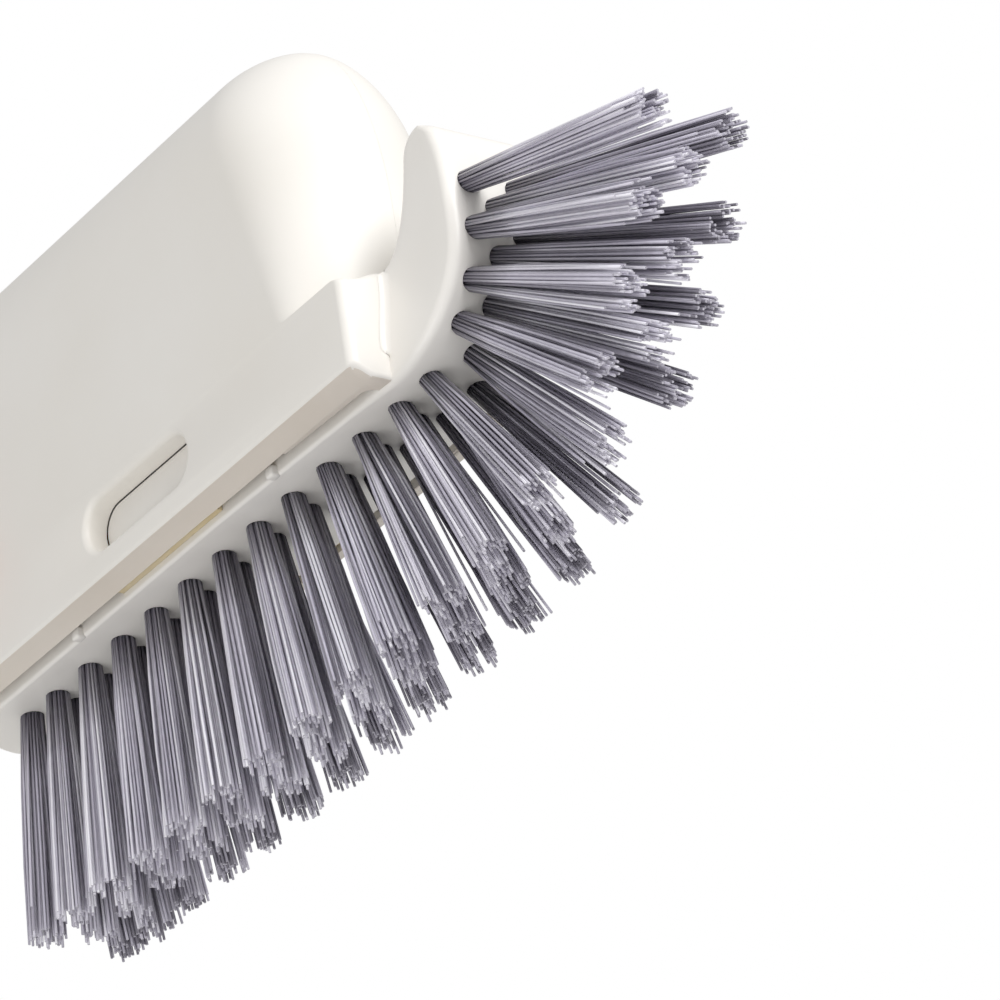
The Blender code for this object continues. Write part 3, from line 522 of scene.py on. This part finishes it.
carrier = {
    "halfWidth": 6.7, "frontHalfWidth": 5.9, "finHalfWidth": 5.1, "taperFrom": 40.0, "rear": -7.2,
    "plate": 2.7, "gap": 0.3, "toeStart": 67.9, "toeRadius": 11.8,
    "edge": 0.4, "toeEdge": 1.1, "edgeGrowsFrom": 60.0, "edgeGrowsOver": 14.0, "backEdge": 0.3,
    "finTip": (76.3, 20.0), "finTipRadius": 2.6, "finBend": -1.5, "finFront": (0.985, 0.4), "finBack": (-0.97, 0.65),
    "frontArc": (12, 80), "backArc": (165, 84), "leastHalfWidth": 0.02,
    "pocket": (68.65, 11.7), "pocketBend": (72.2, 12.6),
    "back": 0.03, "webFillet": 0.8, "webTop": 11.75, "webFade": 0.6,
    "roundSteps": 12, "flatSteps": 40, "toeSteps": 36, "spreadSteps": 4, "narrowFrom": 6, "narrowOver": 26,
    "finSteps": 14, "tipSteps": 12,
    "nubs": (15.9, 49.7), "nubOut": 0.15, "nubReach": (0.6, 0.55), "nubHeights": (-0.15, 1.1), "nubRound": 0.3,
    "rail": ((21.8, 45.5), (4.5, 6.3), (1.7, 11.6)), "railRound": 0.3,
    "padReach": (5.9, 7.71), "padGap": 0.1, "padRound": 0.1,
    "prong": ((8.2, 13.0), (5.2, 6.7), (1.7, 17.5)), "prongWindow": ((9.3, -8.0, 12.0), (11.9, 8.0, 16.0)),
}


def soleHalfWidth(x):
    share = max(x - carrier["taperFrom"], 0.0) / (handle["block"] - carrier["taperFrom"])
    return carrier["halfWidth"] + (carrier["frontHalfWidth"] - carrier["halfWidth"]) * share


def rearRound(margin):
    centre = (carrier["rear"] + carrier["halfWidth"], 0)
    return arc(centre, carrier["halfWidth"] + margin, 90, 270, 2 * carrier["roundSteps"])


def solePlan(margin, frontX):
    near = [(carrier["taperFrom"], -carrier["halfWidth"] - margin), (frontX, -soleHalfWidth(frontX) - margin)]
    return near + [(x, -y) for x, y in reversed(near)] + rearRound(margin)


def channelPlan(margin, frontX):  # as the sole's plan, but its arms end in a round
    end = arc((frontX - margin, -soleHalfWidth(frontX)), margin, -90, 0, handle["cornerSteps"])
    near = [(carrier["taperFrom"], -carrier["halfWidth"] - margin)] + end
    return near + [(x, -y) for x, y in reversed(near)] + rearRound(margin)


openings = {
    "slot": (32.65, 6.55), "slotLength": 17.7, "slotHeight": 5.3, "slotEdge": 0.7,
    "hang": (-108.0, 26.0), "hangLength": 18.0, "hangWidth": 9.0, "hangWall": 1.8, "hangEdge": 1.2,
    "button": (-2.0, 14.0), "buttonRadius": 7.3, "buttonEdge": 0.35,
    "screws": ((-86.0, 23.2), (-45.0, 30.4), (17.0, 30.4), (48.5, 23.2)),
    "boss": 3.8, "head": 3.1, "shank": 1.75,
    "headHole": (3.6, 12.0), "shankHole": (-2.0, 4.6), "pilotHole": (-8.4, 2.0),
    "channel": 1.2, "channelDepth": 0.8, "channelFront": 66.4,
    "below": -3.0, "roomTop": 17.5, "plateNotchGap": -0.1, "plateNotchOut": 3.0, "outside": 2.0,
    "frameEnds": (20.6, 53.3), "frameGap": 0.05, "buttonRoom": ((-10.5, -8.0, 5.2), (6.5, 8.0, 17.5)),
    "halfEnds": (-200.0, 200.0), "halfHeights": (-20.0, 80.0), "halfOut": 40.0, "rodSteps": 32, "buttonSteps": 64,
    "rimShadeDepth": 0.1, "rimShadeNormal": -0.88,
}


coreFrame = {
    "rear": 20.9, "front": 53.0, "inner": 7.0, "outer": 7.7, "rim": 2.3, "top": 13.6, "web": 1.4,
    "lipRear": 24.0, "lipFront": 41.4, "lip": 0.8, "lipOuter": 7.4, "lipInset": 0.25, "lipOverlap": 0.5,
    "windowMargin": 1.2, "windowReach": 9.0, "outside": 2.0, "edge": 0.12,
}


def sideHole(name, outlineAt, edge):  # a hole through both sides whose mouths are rounded by edge
    marks = [(-handle["halfWidth"] - openings["outside"], edge)]
    for a in quarter(handle["edgeSteps"]):
        marks.append((-handle["halfWidth"] + edge * (1 - math.cos(a)), edge * (1 - math.sin(a))))
    marks += [(-y, grow) for y, grow in reversed(marks)]
    return ringSolid(name, [[(x, y, z) for x, z in outlineAt(grow)] for y, grow in marks])


def sideSlotHole(name, centre, length, width, edge):
    return sideHole(name, lambda grow: stadium(centre, length + 2 * grow, width + 2 * grow), edge)


def buttonOutline(grow):
    return arc(openings["button"], openings["buttonRadius"] + grow, 0, 360, openings["buttonSteps"])[:-1]


def sideRod(name, centre, radius, near, far):
    return sideSolid(name, arc(centre, radius, 0, 360, openings["rodSteps"])[:-1], near, far)


def makeShell(name, side, node, finish):
    shell = ringSolid(name, handleRings(), finish)
    room, below, gap = openings, openings["below"], carrier["gap"]
    rimTop, frameSide = handle["rim"] + room["channelDepth"], coreFrame["outer"] + room["frameGap"]
    pocket = solePlan(gap, handle["nose"] - 2 * handle["wall"])
    notch = solePlan(room["plateNotchGap"], handle["block"] + room["plateNotchOut"])
    frameRear, frameFront = room["frameEnds"]
    frameTop = coreFrame["top"] + gap
    cuts = [
        ringSolid("cavity", cavityRings()),
        planSolid("carrierPocket", pocket, below, room["roomTop"]),
        planSolid("plateNotch", notch, below, carrier["plate"] + room["plateNotchGap"]),
        planSolid("seamChannel", channelPlan(room["channel"], room["channelFront"]), below, rimTop),
        block("framePocket", (frameRear, -frameSide, below), (frameFront, frameSide, frameTop)),
        block("buttonRoom", *room["buttonRoom"]),
        sideSlotHole("sideSlot", room["slot"], room["slotLength"], room["slotHeight"], room["slotEdge"]),
        sideHole("buttonHole", buttonOutline, room["buttonEdge"]),
    ]
    combine(shell, cuts, "DIFFERENCE")
    root = handle["halfWidth"] - handle["wall"] / 2
    wall = stadium(room["hang"], room["hangLength"] + 2 * room["hangWall"], room["hangWidth"] + 2 * room["hangWall"])
    bosses = [sideSolid("hangingWall", wall, -root, root)]
    holes = [sideSlotHole("hangingHole", room["hang"], room["hangLength"], room["hangWidth"], room["hangEdge"])]
    near, far = (-handle["seam"], room["halfOut"]) if side < 0 else (-room["halfOut"], handle["seam"])
    (rear, front), (bottom, top) = room["halfEnds"], room["halfHeights"]
    holes.append(block("otherHalf", (rear, near, bottom), (front, far, top)))
    for i, spot in enumerate(room["screws"]):
        near, far = sorted((side * root, -side))
        bosses.append(sideRod(f"boss{i}", spot, room["boss"], near, far))
        if side > 0:
            holes.append(sideRod(f"headHole{i}", spot, room["head"], *room["headHole"]))
            holes.append(sideRod(f"shankHole{i}", spot, room["shank"], *room["shankHole"]))
        else:
            holes.append(sideRod(f"pilotHole{i}", spot, room["shank"], *room["pilotHole"]))
    combine(shell, bosses, "UNION")
    combine(shell, holes, "DIFFERENCE")
    # painted shade: low faces that face down get the darker, warmer ABS in place of their shade and bounce light
    shell.data.materials.append(absRimPaintedShade)
    for face in shell.data.polygons:
        low = face.center.z / mm - soleOrigin.z < rimTop + room["rimShadeDepth"]
        if low and face.normal.z < room["rimShadeNormal"]:
            face.material_index = len(shell.data.materials) - 1
    smoothShaded(shell)
    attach(shell, "handle")
    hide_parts(node)


makeShell("nearShell", -1, "near_shell", absWhite)
makeShell("farShell", 1, "far_shell", absWhite)
print("shells made")


# carrier: one lofted J, flat under the handle, round the toe and up to the fin's tip

def solePoint(s):  # the point s along the sole and the way that the sole runs there
    start, radius = carrier["toeStart"], carrier["toeRadius"]
    bendLength = radius * math.pi / 2
    if s <= start:
        return s, 0.0, 0.0
    if s <= start + bendLength:
        angle = (s - start) / radius
        return start + radius * math.sin(angle), radius - radius * math.cos(angle), angle
    return start + radius, radius + s - start - bendLength, math.pi / 2


def bezier(start, bend, end, steps):
    found = []
    for i in range(steps + 1):
        t = i / steps
        found.append(tuple(a * (1 - t) ** 2 + b * 2 * t * (1 - t) + c * t * t for a, b, c in zip(start, bend, end)))
    return found


def carrierStations():
    rear, roundX, radius = carrier["rear"], carrier["rear"] + carrier["halfWidth"], carrier["toeRadius"]
    start, plate, back = carrier["toeStart"], carrier["plate"], handle["block"] + carrier["back"]
    stations = []  # outer point, back point, half width
    for a in quarter(carrier["roundSteps"]):
        x = rear + carrier["halfWidth"] * (1 - math.cos(a))
        wide = math.sqrt(max(carrier["halfWidth"] ** 2 - (roundX - x) ** 2, carrier["leastHalfWidth"] ** 2))
        stations.append(((x, 0.0), (x, plate), wide))
    for i in range(1, carrier["flatSteps"] + 1):
        x = roundX + (start - roundX) * i / carrier["flatSteps"]
        stations.append(((x, 0.0), (x, plate), soleHalfWidth(min(x, handle["block"]))))
    front, fin = carrier["frontHalfWidth"], carrier["finHalfWidth"]
    toeSteps, spreadSteps = carrier["toeSteps"], carrier["spreadSteps"]
    for i, angle in enumerate(quarter(toeSteps)[1:], 1):
        narrow = clamped((i - carrier["narrowFrom"]) / carrier["narrowOver"])
        wide = front + (fin - front) * narrow * narrow * (3 - 2 * narrow)
        outer = (start + radius * math.sin(angle), radius * (1 - math.cos(angle)))
        spread = min(i / spreadSteps, 1.0)
        rise = max(i - spreadSteps, 0) / (toeSteps - spreadSteps)
        inner = (start + (back - start) * spread, plate + (carrier["pocket"][1] - plate) * rise)
        stations.append((outer, inner, wide))
    (tipX, tipZ), tipRadius = carrier["finTip"], carrier["finTipRadius"]
    (frontX, frontZ), (backX, backZ) = carrier["finFront"], carrier["finBack"]
    toeFront, bend = start + radius, (start + radius, tipZ + carrier["finBend"])
    finFront, finBack = (tipX + tipRadius * frontX, tipZ + frontZ), (tipX + tipRadius * backX, tipZ + backZ)
    outside = bezier((toeFront, radius), bend, finFront, carrier["finSteps"])[1:]
    outside += arc(carrier["finTip"], tipRadius, *carrier["frontArc"], carrier["tipSteps"])
    behind = bezier(carrier["pocket"], carrier["pocketBend"], finBack, carrier["finSteps"])[1:]
    behind += arc(carrier["finTip"], tipRadius, *carrier["backArc"], carrier["tipSteps"])
    return stations + [(outer, inner, fin) for outer, inner in zip(outside, behind)]


# A station's cross-section: how much of it the edges may take, and its points across the sole, round the edge, up
# the side, round the fillet or back edge and across the back.
section = {
    "edgeShare": 0.5, "backEdgeShare": 0.4, "widthShare": 0.9, "leastWeb": 0.05,
    "soleSteps": 5, "edgeSteps": 7, "sideSteps": 5, "webSteps": 6, "backSteps": 4,
}


def carrierRings():
    rings = []
    for (ox, oz), (bx, bz), wide in carrierStations():
        across = Vector((bx - ox, 0, bz - oz))
        thick = across.length
        across.normalize()
        share = clamped((ox - carrier["edgeGrowsFrom"]) / carrier["edgeGrowsOver"])
        edge = carrier["edge"] + (carrier["toeEdge"] - carrier["edge"]) * share * share * (3 - 2 * share)
        widest = wide * section["widthShare"]
        edge = min(edge, thick * section["edgeShare"], widest)
        backEdge = min(carrier["backEdge"], thick * section["backEdgeShare"], widest)
        web = carrier["webFillet"] * clamped((bz - carrier["plate"]) / carrier["webFade"])
        web *= clamped((carrier["webTop"] - bz) / carrier["webFade"])
        steps, sideSteps = section["soleSteps"], section["sideSteps"]
        half = [((wide - edge) * i / steps, 0.0) for i in range(steps + 1)]
        for a in quarter(section["edgeSteps"])[1:]:
            half.append((wide - edge + edge * math.sin(a), edge * (1 - math.cos(a))))
        turnDepth = max(web, backEdge)
        half += [(wide, edge + (thick - edge - turnDepth) * i / sideSteps) for i in range(1, sideSteps)]
        for a in quarter(section["webSteps"]):
            if web > section["leastWeb"]:  # hollow fillet where the toe's sides meet the front of the handle
                half.append((wide + web * (1 - math.cos(a)), thick - web * (1 - math.sin(a))))
            else:
                half.append((wide - backEdge * (1 - math.cos(a)), thick - backEdge * (1 - math.sin(a))))
        reach, steps = half[-1][0], section["backSteps"]
        half += [(reach * (1 - i / steps), thick) for i in range(1, steps + 1)]
        loop = half + [(-v, d) for v, d in half[-2:0:-1]]
        rings.append([(ox + across.x * d, v, oz + across.z * d) for v, d in loop])
    return rings


def tuftMouth(s, row):  # its centre on the sole, the way into the carrier and the way along the sole
    back = tufts["mouthShift"][row] * clamped((tufts["shiftTo"] - s) / tufts["shiftFade"])
    x, z, facing = solePoint(s - back)
    centre = Vector((x, row * tufts["mouthSpacing"], z))
    return centre, Vector((-math.sin(facing), 0, math.cos(facing))), Vector((math.cos(facing), 0, math.sin(facing)))


def tuftHoles():
    made = []
    for row in (-1, 0, 1):
        for s in (middleStations() if row == 0 else outerStations()):
            centre, inwards, u = tuftMouth(s, row)
            outline = arc((0, 0), tufts["hole"] / 2, 0, 360, tufts["holeSteps"])[:-1]
            mouth = [centre + u * a + Vector((0, 1, 0)) * b for a, b in outline]
            rings = [[spot + inwards * depth for spot in mouth] for depth in tufts["holeEnds"]]
            made.append(ringSolid("tuftHole", rings))
    return made


# tufts: every filament is its own tube, bunched in its hole and fanned out to its tip

tufts = {
    "pitch": 6.0, "endPitch": 4.75, "flatCount": 11, "rowSpacing": 3.0, "rearCount": 6,
    "toeSteps": (4.7, 5.9, 3.9, 4.9, 4.8), "toeLeans": (36.5, 50.7, 58.7, 64.4, 72.1), "flatLeans": (2.3, 25.7),
    "mouthSpacing": 2.62, "mouthShift": {-1: 1.0, 0: -0.5, 1: 1.0}, "shiftTo": 78.0, "shiftFade": 12.0,
    "length": 24.4, "toeGain": 0.345, "gainFrom": 71.0, "flare": 3.3, "toeTrim": {-1: 1.0, 0: 0.989, 1: 0.962},
    "hole": 2.3, "holeEnds": (-0.8, 1.2), "holeSteps": 20, "sunk": 0.8,
    "filament": 0.27, "spacing": 0.282, "bunch": 1.02, "bunchReach": 5, "fan": 1.9, "fanSpread": 0.05,
    "clumps": 6, "clumpPull": 0.3, "tipSpread": 0.09, "lengthSpread": 0.28, "bow": 0.12, "bowSpread": 0.1,
    "strays": 0.05, "strayFan": (1.2, 1.9), "strayReach": (-3.0, 0.5),
    # painted shade: the row offsets darken the far row and lighten the near row a touch
    "tone": 0.5, "clumpTone": 0.18, "toneSpread": 0.22, "paintedRowShade": {-1: 0.04, 0: 0.0, 1: -0.3}, "shadedLength": 2.2,
}


def outerStations():
    flat = [tufts["pitch"] * (i + 1) for i in range(tufts["flatCount"])]
    toe = [flat[-1] + sum(tufts["toeSteps"][:i + 1]) for i in range(len(tufts["toeSteps"]))]
    return [flat[0] - tufts["endPitch"]] + flat + toe


def middleStations():
    outer = outerStations()
    return [(a + b) / 2 for a, b in zip(outer, outer[1:])]


def tuftAxis(s, row):
    start = tufts["pitch"] * tufts["flatCount"]
    share = min(s / start, 1.0)
    lean = before = tufts["flatLeans"][0] * share + tufts["flatLeans"][1] * share ** 2
    for step, wanted in zip(tufts["toeSteps"], tufts["toeLeans"]):
        if s > start:
            lean = before + (wanted - before) * min((s - start) / step, 1.0)
        before = wanted
        start += step
    lean = math.radians(lean)
    flare = math.radians(tufts["flare"]) * row
    return Vector((math.sin(lean) * math.cos(flare), math.sin(flare), -math.cos(lean) * math.cos(flare)))


def bunchSpots():
    spots = []
    step = tufts["spacing"]
    reach = range(-tufts["bunchReach"], tufts["bunchReach"] + 1)
    for j in reach:
        for i in reach:
            x = (i + (j % 2) / 2) * step
            y = j * step * math.sqrt(3) / 2
            if math.hypot(x, y) <= tufts["bunch"]:
                spots.append((x, y))
    return spots


def makeNub(side, x):
    middle, (along, across) = soleHalfWidth(x) + carrier["nubOut"], carrier["nubReach"]
    nub = sidedBlock("nub", side, (x - along, x + along), (middle - across, middle + across), carrier["nubHeights"])
    return chamfered(nub, carrier["nubRound"], 3)


def makeCarrier():
    body = ringSolid("bristleCarrier", carrierRings(), absHead)
    # the tuft holes' walls take the painted shade
    body.data.materials.append(holeShade)
    drill = joined(tuftHoles())
    drill.data.materials.append(absHead)
    drill.data.materials.append(holeShade)
    for face in drill.data.polygons:
        face.material_index = 1
    combine(body, [drill], "DIFFERENCE")
    gap, (padIn, padOut) = 2 * carrier["padGap"], carrier["padReach"]
    padOutline = stadium(openings["slot"], openings["slotLength"] - gap, openings["slotHeight"] - gap)
    parts = []
    for side in (-1, 1):
        parts.append(chamfered(sidedBlock("rail", side, *carrier["rail"]), carrier["railRound"]))
        parts.append(chamfered(sideSolid("pad", padOutline, side * padIn, side * padOut), carrier["padRound"]))
        parts.append(sidedBlock("prong", side, *carrier["prong"]))
        combine(parts[-1], [block("window", *carrier["prongWindow"])], "DIFFERENCE")
        parts += [makeNub(side, x) for x in carrier["nubs"]]
    for part in parts:
        part.data.materials.clear()
        part.data.materials.append(absHead)
    joined([body] + parts)
    smoothShaded(body)
    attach(body, "head")
    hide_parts("bristle_carrier")


makeCarrier()
print("carrier made")


# core frame, spring, buttons and screws

def makeCoreFrame():
    size, out = coreFrame, coreFrame["outside"]
    low, high = (size["rear"], -size["outer"], size["rim"]), (size["front"], size["outer"], size["top"])
    body = block("coreFrame", low, high, amber)
    low = (size["rear"] - out, -size["inner"], size["rim"] - out)
    high = (size["front"] + out, size["inner"], size["top"] - size["web"])
    room, margin = block("frameRoom", low, high), 2 * size["windowMargin"]
    outline = stadium(openings["slot"], openings["slotLength"] + margin, openings["slotHeight"] + margin)
    window = sideSolid("frameWindow", outline, -size["windowReach"], size["windowReach"])
    combine(body, [room, window], "DIFFERENCE")
    lips = []
    for side in (-1, 1):
        across = (size["inner"] - size["lipInset"], size["lipOuter"])
        heights = (size["lip"], size["rim"] + size["lipOverlap"])
        lips.append(sidedBlock("lip", side, (size["lipRear"], size["lipFront"]), across, heights))
    combine(body, lips, "UNION")
    chamfered(body, size["edge"])
    smoothShaded(body)
    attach(body, "handle")
    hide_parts("core_frame")


def turnedSolid(name, profile, centre, side, finish, steps):  # profile holds radius and distance from the seam
    rings = []
    for radius, out in profile:
        ring = [(centre[0] + radius * math.cos(a), centre[1] + radius * math.sin(a)) for a in fullTurn(steps)]
        rings.append([(x, side * out, z) for x, z in ring])
    return ringSolid(name, rings, finish)


button = {
    "radius": 7.0, "proud": 2.4, "dish": 0.7, "edge": 0.9, "flangeLip": 1.2, "flange": 1.3, "flangeOut": 7.7,
    "spigot": 1.9, "spigotLength": 1.2, "armOut": 4.9, "armBack": 0.7, "armThick": 1.4, "armHeight": 3.2,
    "armRoot": 4.6, "rootLength": 2.0, "rootOverlap": 0.4, "catchX": 10.6, "catchReach": 0.8, "catchThick": 1.2,
    "catchHalfHeight": 1.2, "axis": 0.02, "dishSteps": 14, "edgeSteps": 8, "steps": 64,
}


def makeButton(name, side, body, node):
    size, edge, steps = button, button["edge"], button["dishSteps"]
    radius, lipRadius, spigot = size["radius"], size["radius"] + size["flangeLip"], size["spigot"]
    face, flangeOut = handle["halfWidth"] + size["proud"], size["flangeOut"]
    flangeIn, inner = flangeOut - size["flange"], radius - edge
    spigotEnd = flangeIn - size["spigotLength"]
    profile = []
    for i in range(steps + 1):
        dish = size["dish"] * (1 - (i / steps) ** 2) ** 1.5
        profile.append((max(inner * i / steps, size["axis"]), face - dish))
    for a in quarter(size["edgeSteps"])[1:]:
        profile.append((inner + edge * math.sin(a), face - edge * (1 - math.cos(a))))
    profile += [(radius, flangeOut), (lipRadius, flangeOut), (lipRadius, flangeIn)]
    profile += [(spigot, flangeIn), (spigot, spigotEnd), (size["axis"], spigotEnd)]
    cap = turnedSolid(name, profile, openings["button"], side, coral, size["steps"])
    z, half, catch = openings["button"][1], size["armHeight"] / 2, size["catchHalfHeight"]
    armOut, armRear = size["armOut"] - size["armBack"], size["armRoot"] - size["rootLength"]
    armIn = armOut - size["armThick"]
    catchRear, catchFront = size["catchX"] - size["catchReach"], size["catchX"] + size["catchReach"]
    catchAcross = (size["armOut"], size["armOut"] - size["catchThick"])
    rootAcross = (flangeIn + size["rootOverlap"], armIn)
    arms = [
        sidedBlock("armRoot", side, (armRear, size["armRoot"]), rootAcross, (z - half, z + half)),
        sidedBlock("arm", side, (armRear, catchFront), (armOut, armIn), (z - half, z + half)),
        sidedBlock("catch", side, (catchRear, catchFront), catchAcross, (z - catch, z + catch)),
    ]
    combine(cap, arms, "UNION")
    smoothShaded(cap)
    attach(cap, body)
    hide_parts(node)


screw = {
    "head": 2.8, "headHeight": 1.9, "headEdge": 0.7, "headDome": 0.08, "recess": 4.4, "shank": 1.45, "length": 12.0,
    "point": 1.2, "cross": 0.9, "arm": 1.7, "crossDepth": 1.0, "axis": 0.02, "edgeSteps": 6, "steps": 40,
}


def makeScrew(number, centre):
    size, edge = screw, screw["headEdge"]
    top = handle["halfWidth"] - size["recess"]
    shoulder, base = top - size["headDome"], top - size["headHeight"]
    profile = [(size["axis"], top)]
    for a in quarter(size["edgeSteps"]):
        profile.append((size["head"] - edge * (1 - math.sin(a)), shoulder - edge * (1 - math.cos(a))))
    end = base - size["length"]
    profile += [(size["head"], base), (size["shank"], base), (size["shank"], end + size["point"]), (size["axis"], end)]
    made = turnedSolid(f"shellScrew{number}", profile, centre, 1, zinc, size["steps"])
    slots, depth = [], size["crossDepth"]
    for a, b in ((size["arm"], size["cross"] / 2), (size["cross"] / 2, size["arm"])):
        low, high = (centre[0] - a, top - depth, centre[1] - b), (centre[0] + a, top + depth, centre[1] + b)
        slots.append(block("crossSlot", low, high))
    combine(made, slots, "DIFFERENCE")
    smoothShaded(made)
    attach(made, "handle")
    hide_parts(f"shell_screw_{number}")


spring = {
    "radius": 3.0, "wire": 0.8, "reach": 5.7, "halfTurns": 2.5, "travel": 1.6, "facets": 10, "steps": 60, "smooth": 50,
}


def makeSpringHalf(name, side):  # one coil in two halves, each squeezed by its own button
    radius, wireRadius, reach, steps = spring["radius"], spring["wire"] / 2, spring["reach"], spring["steps"]
    centreX, centreZ = openings["button"]
    wholeTurn = math.tau * spring["halfTurns"]
    rings = []
    for i in range(steps + 1):
        turn = side * wholeTurn * i / steps
        radial = Vector((math.cos(turn), 0, math.sin(turn)))
        tangent = Vector((-radius * math.sin(turn), reach / wholeTurn, radius * math.cos(turn))).normalized()
        across = tangent.cross(radial)
        centre = Vector((centreX, 0, centreZ)) + radial * radius + Vector((0, side * reach * i / steps, 0))
        turns = fullTurn(spring["facets"])
        rings.append([centre + (radial * math.cos(a) + across * math.sin(a)) * wireRadius for a in turns])
    made = ringSolid(name, rings, zinc)
    smoothShaded(made, spring["smooth"])
    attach(made, "handle")
    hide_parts("button_spring")
    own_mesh(made)


makeSpringHalf("nearSpringHalf", -1)
makeSpringHalf("farSpringHalf", 1)
makeCoreFrame()
makeButton("nearButton", -1, "near_button", "near_release_button")
makeButton("farButton", 1, "far_button", "far_release_button")
for number, centre in enumerate(openings["screws"], 1):
    makeScrew(number, centre)
print("core frame, spring, buttons and screws made")


# filaments: each is a copy of one unit tube, bent from its root in the hole to its tip

filamentShape = {"sides": 5, "bends": 2, "long": 0.5, "end": 0.99}


def makeFilament():
    shape = filamentShape
    deselectAll()
    bpy.ops.mesh.primitive_cylinder_add(
        vertices=shape["sides"], radius=1.0, depth=1.0, end_fill_type="NGON", location=(0, 0, 0.5))
    bpy.ops.object.transform_apply(location=True)
    made = bpy.context.object
    made.name = "filament"
    bpy.ops.object.mode_set(mode="EDIT")
    bpy.ops.mesh.select_all(action="DESELECT")
    tube = bmesh.from_edit_mesh(made.data)
    for edge in tube.edges:
        edge.select = abs(edge.verts[0].co.z - edge.verts[1].co.z) > shape["long"]
    bmesh.update_edit_mesh(made.data)
    bpy.ops.mesh.subdivide(number_cuts=shape["bends"])
    bpy.ops.object.mode_set(mode="OBJECT")
    made.data.materials.append(nylonGrey)
    made.data.materials.append(nylonEnd)
    for face in made.data.polygons:
        face.use_smooth = len(face.vertices) == 4
        face.material_index = int(face.center.z > shape["end"])
    return made


filament = makeFilament()
filamentRest = np.array([v.co for v in filament.data.vertices])
rng = random.Random(7)


def layFilament(name, root, tip, bow, tone):
    across = (tip - root).normalized()
    side = across.orthogonal().normalized()
    other = across.cross(side)
    turn = rng.uniform(0, math.tau)
    mesh = filament.data.copy()
    along = filamentRest[:, 2]
    middle = np.outer(1 - along, root) + np.outer(along, tip) + np.outer(np.sin(along * math.pi), bow)
    cosine, sine = math.cos(turn), math.sin(turn)
    x = (filamentRest[:, 0] * cosine - filamentRest[:, 1] * sine) * tufts["filament"] / 2
    y = (filamentRest[:, 0] * sine + filamentRest[:, 1] * cosine) * tufts["filament"] / 2
    spots = (middle + np.outer(x, side) + np.outer(y, other) + np.array(soleOrigin)) * mm
    mesh.vertices.foreach_set("co", spots.ravel())
    # painted shade: 0 at the hole, rising to 1 once the filament is clear of it
    rootShade = np.clip(((tip - root).length * along - tufts["sunk"]) / tufts["shadedLength"], 0.0, 1.0)
    mesh.attributes.new("tone", "FLOAT", "POINT").data.foreach_set("value", [tone] * len(mesh.vertices))
    mesh.attributes.new("along", "FLOAT", "POINT").data.foreach_set("value", rootShade)
    strand = bpy.data.objects.new(name, mesh)
    bpy.context.scene.collection.objects.link(strand)
    return strand


def tipEnd(s, row):  # where the middle of a tuft ends
    length = tufts["length"] + tufts["toeGain"] * max(s - tufts["gainFrom"], 0.0)
    if s > tufts["gainFrom"]:
        length *= tufts["toeTrim"][row]
    x, z = solePoint(s)[:2]
    return Vector((x, row * tufts["rowSpacing"], z)) + tuftAxis(s, row) * length


def layTuft(name, s, row):
    mouth, inwards, u = tuftMouth(s, row)
    v = Vector((0, 1, 0))
    end = tipEnd(s, row)
    axis = (end - mouth).normalized()
    sunk = axis * (tufts["sunk"] / -axis.dot(inwards))
    tu, tv = u - axis * u.dot(axis), v - axis * v.dot(axis)
    pull, shade = tufts["clumpPull"], tufts["clumpTone"]
    clumps = [(rng.uniform(-1, 1), rng.uniform(-1, 1), rng.uniform(-shade, shade)) for i in range(tufts["clumps"])]
    made = []
    for a, b in spotsInHole:
        near = min(clumps, key=lambda clump: math.hypot(a - clump[0], b - clump[1]))
        fan = tufts["fan"] * rng.gauss(1.0, tufts["fanSpread"])
        ta = (a + (near[0] - a) * pull) * fan + rng.gauss(0, tufts["tipSpread"])
        tb = (b + (near[1] - b) * pull) * fan + rng.gauss(0, tufts["tipSpread"])
        reach = rng.gauss(0, tufts["lengthSpread"])
        if rng.random() < tufts["strays"]:
            ta, tb = ta * rng.uniform(*tufts["strayFan"]), tb * rng.uniform(*tufts["strayFan"])
            reach = rng.uniform(*tufts["strayReach"])
        root = mouth + u * a + v * b - sunk
        tip = end + tu.normalized() * ta + tv.normalized() * tb + axis * reach
        bow = (tu * a + tv * b) * rng.gauss(tufts["bow"], tufts["bowSpread"])
        # painted shade: each row's tone is shifted, the far row darkest, as the far rows lie in shade
        tone = tufts["tone"] + near[2] + rng.gauss(0, tufts["toneSpread"]) + tufts["paintedRowShade"][row]
        made.append(layFilament(name, root, tip, bow, clamped(tone)))
    return made


spotsInHole = bunchSpots()
for row, side in {-1: "near", 0: "middle", 1: "far"}.items():
    stations = middleStations() if row == 0 else outerStations()
    split = [0, tufts["rearCount"], len(stations) - len(tufts["toeSteps"]), len(stations)]
    for i, part in enumerate(("rear", "front", "toe")):
        name = side + part.title() + "Filaments"
        strands = []
        for s in stations[split[i]:split[i + 1]]:
            strands += layTuft(name, s, row)
        group = joined(strands)
        group.name = name
        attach(group, "head")
        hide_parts(f"{side}_{part}_tufts")
bpy.data.objects.remove(filament, do_unlink=True)
print("filaments laid:", len(spotsInHole), "a tuft")
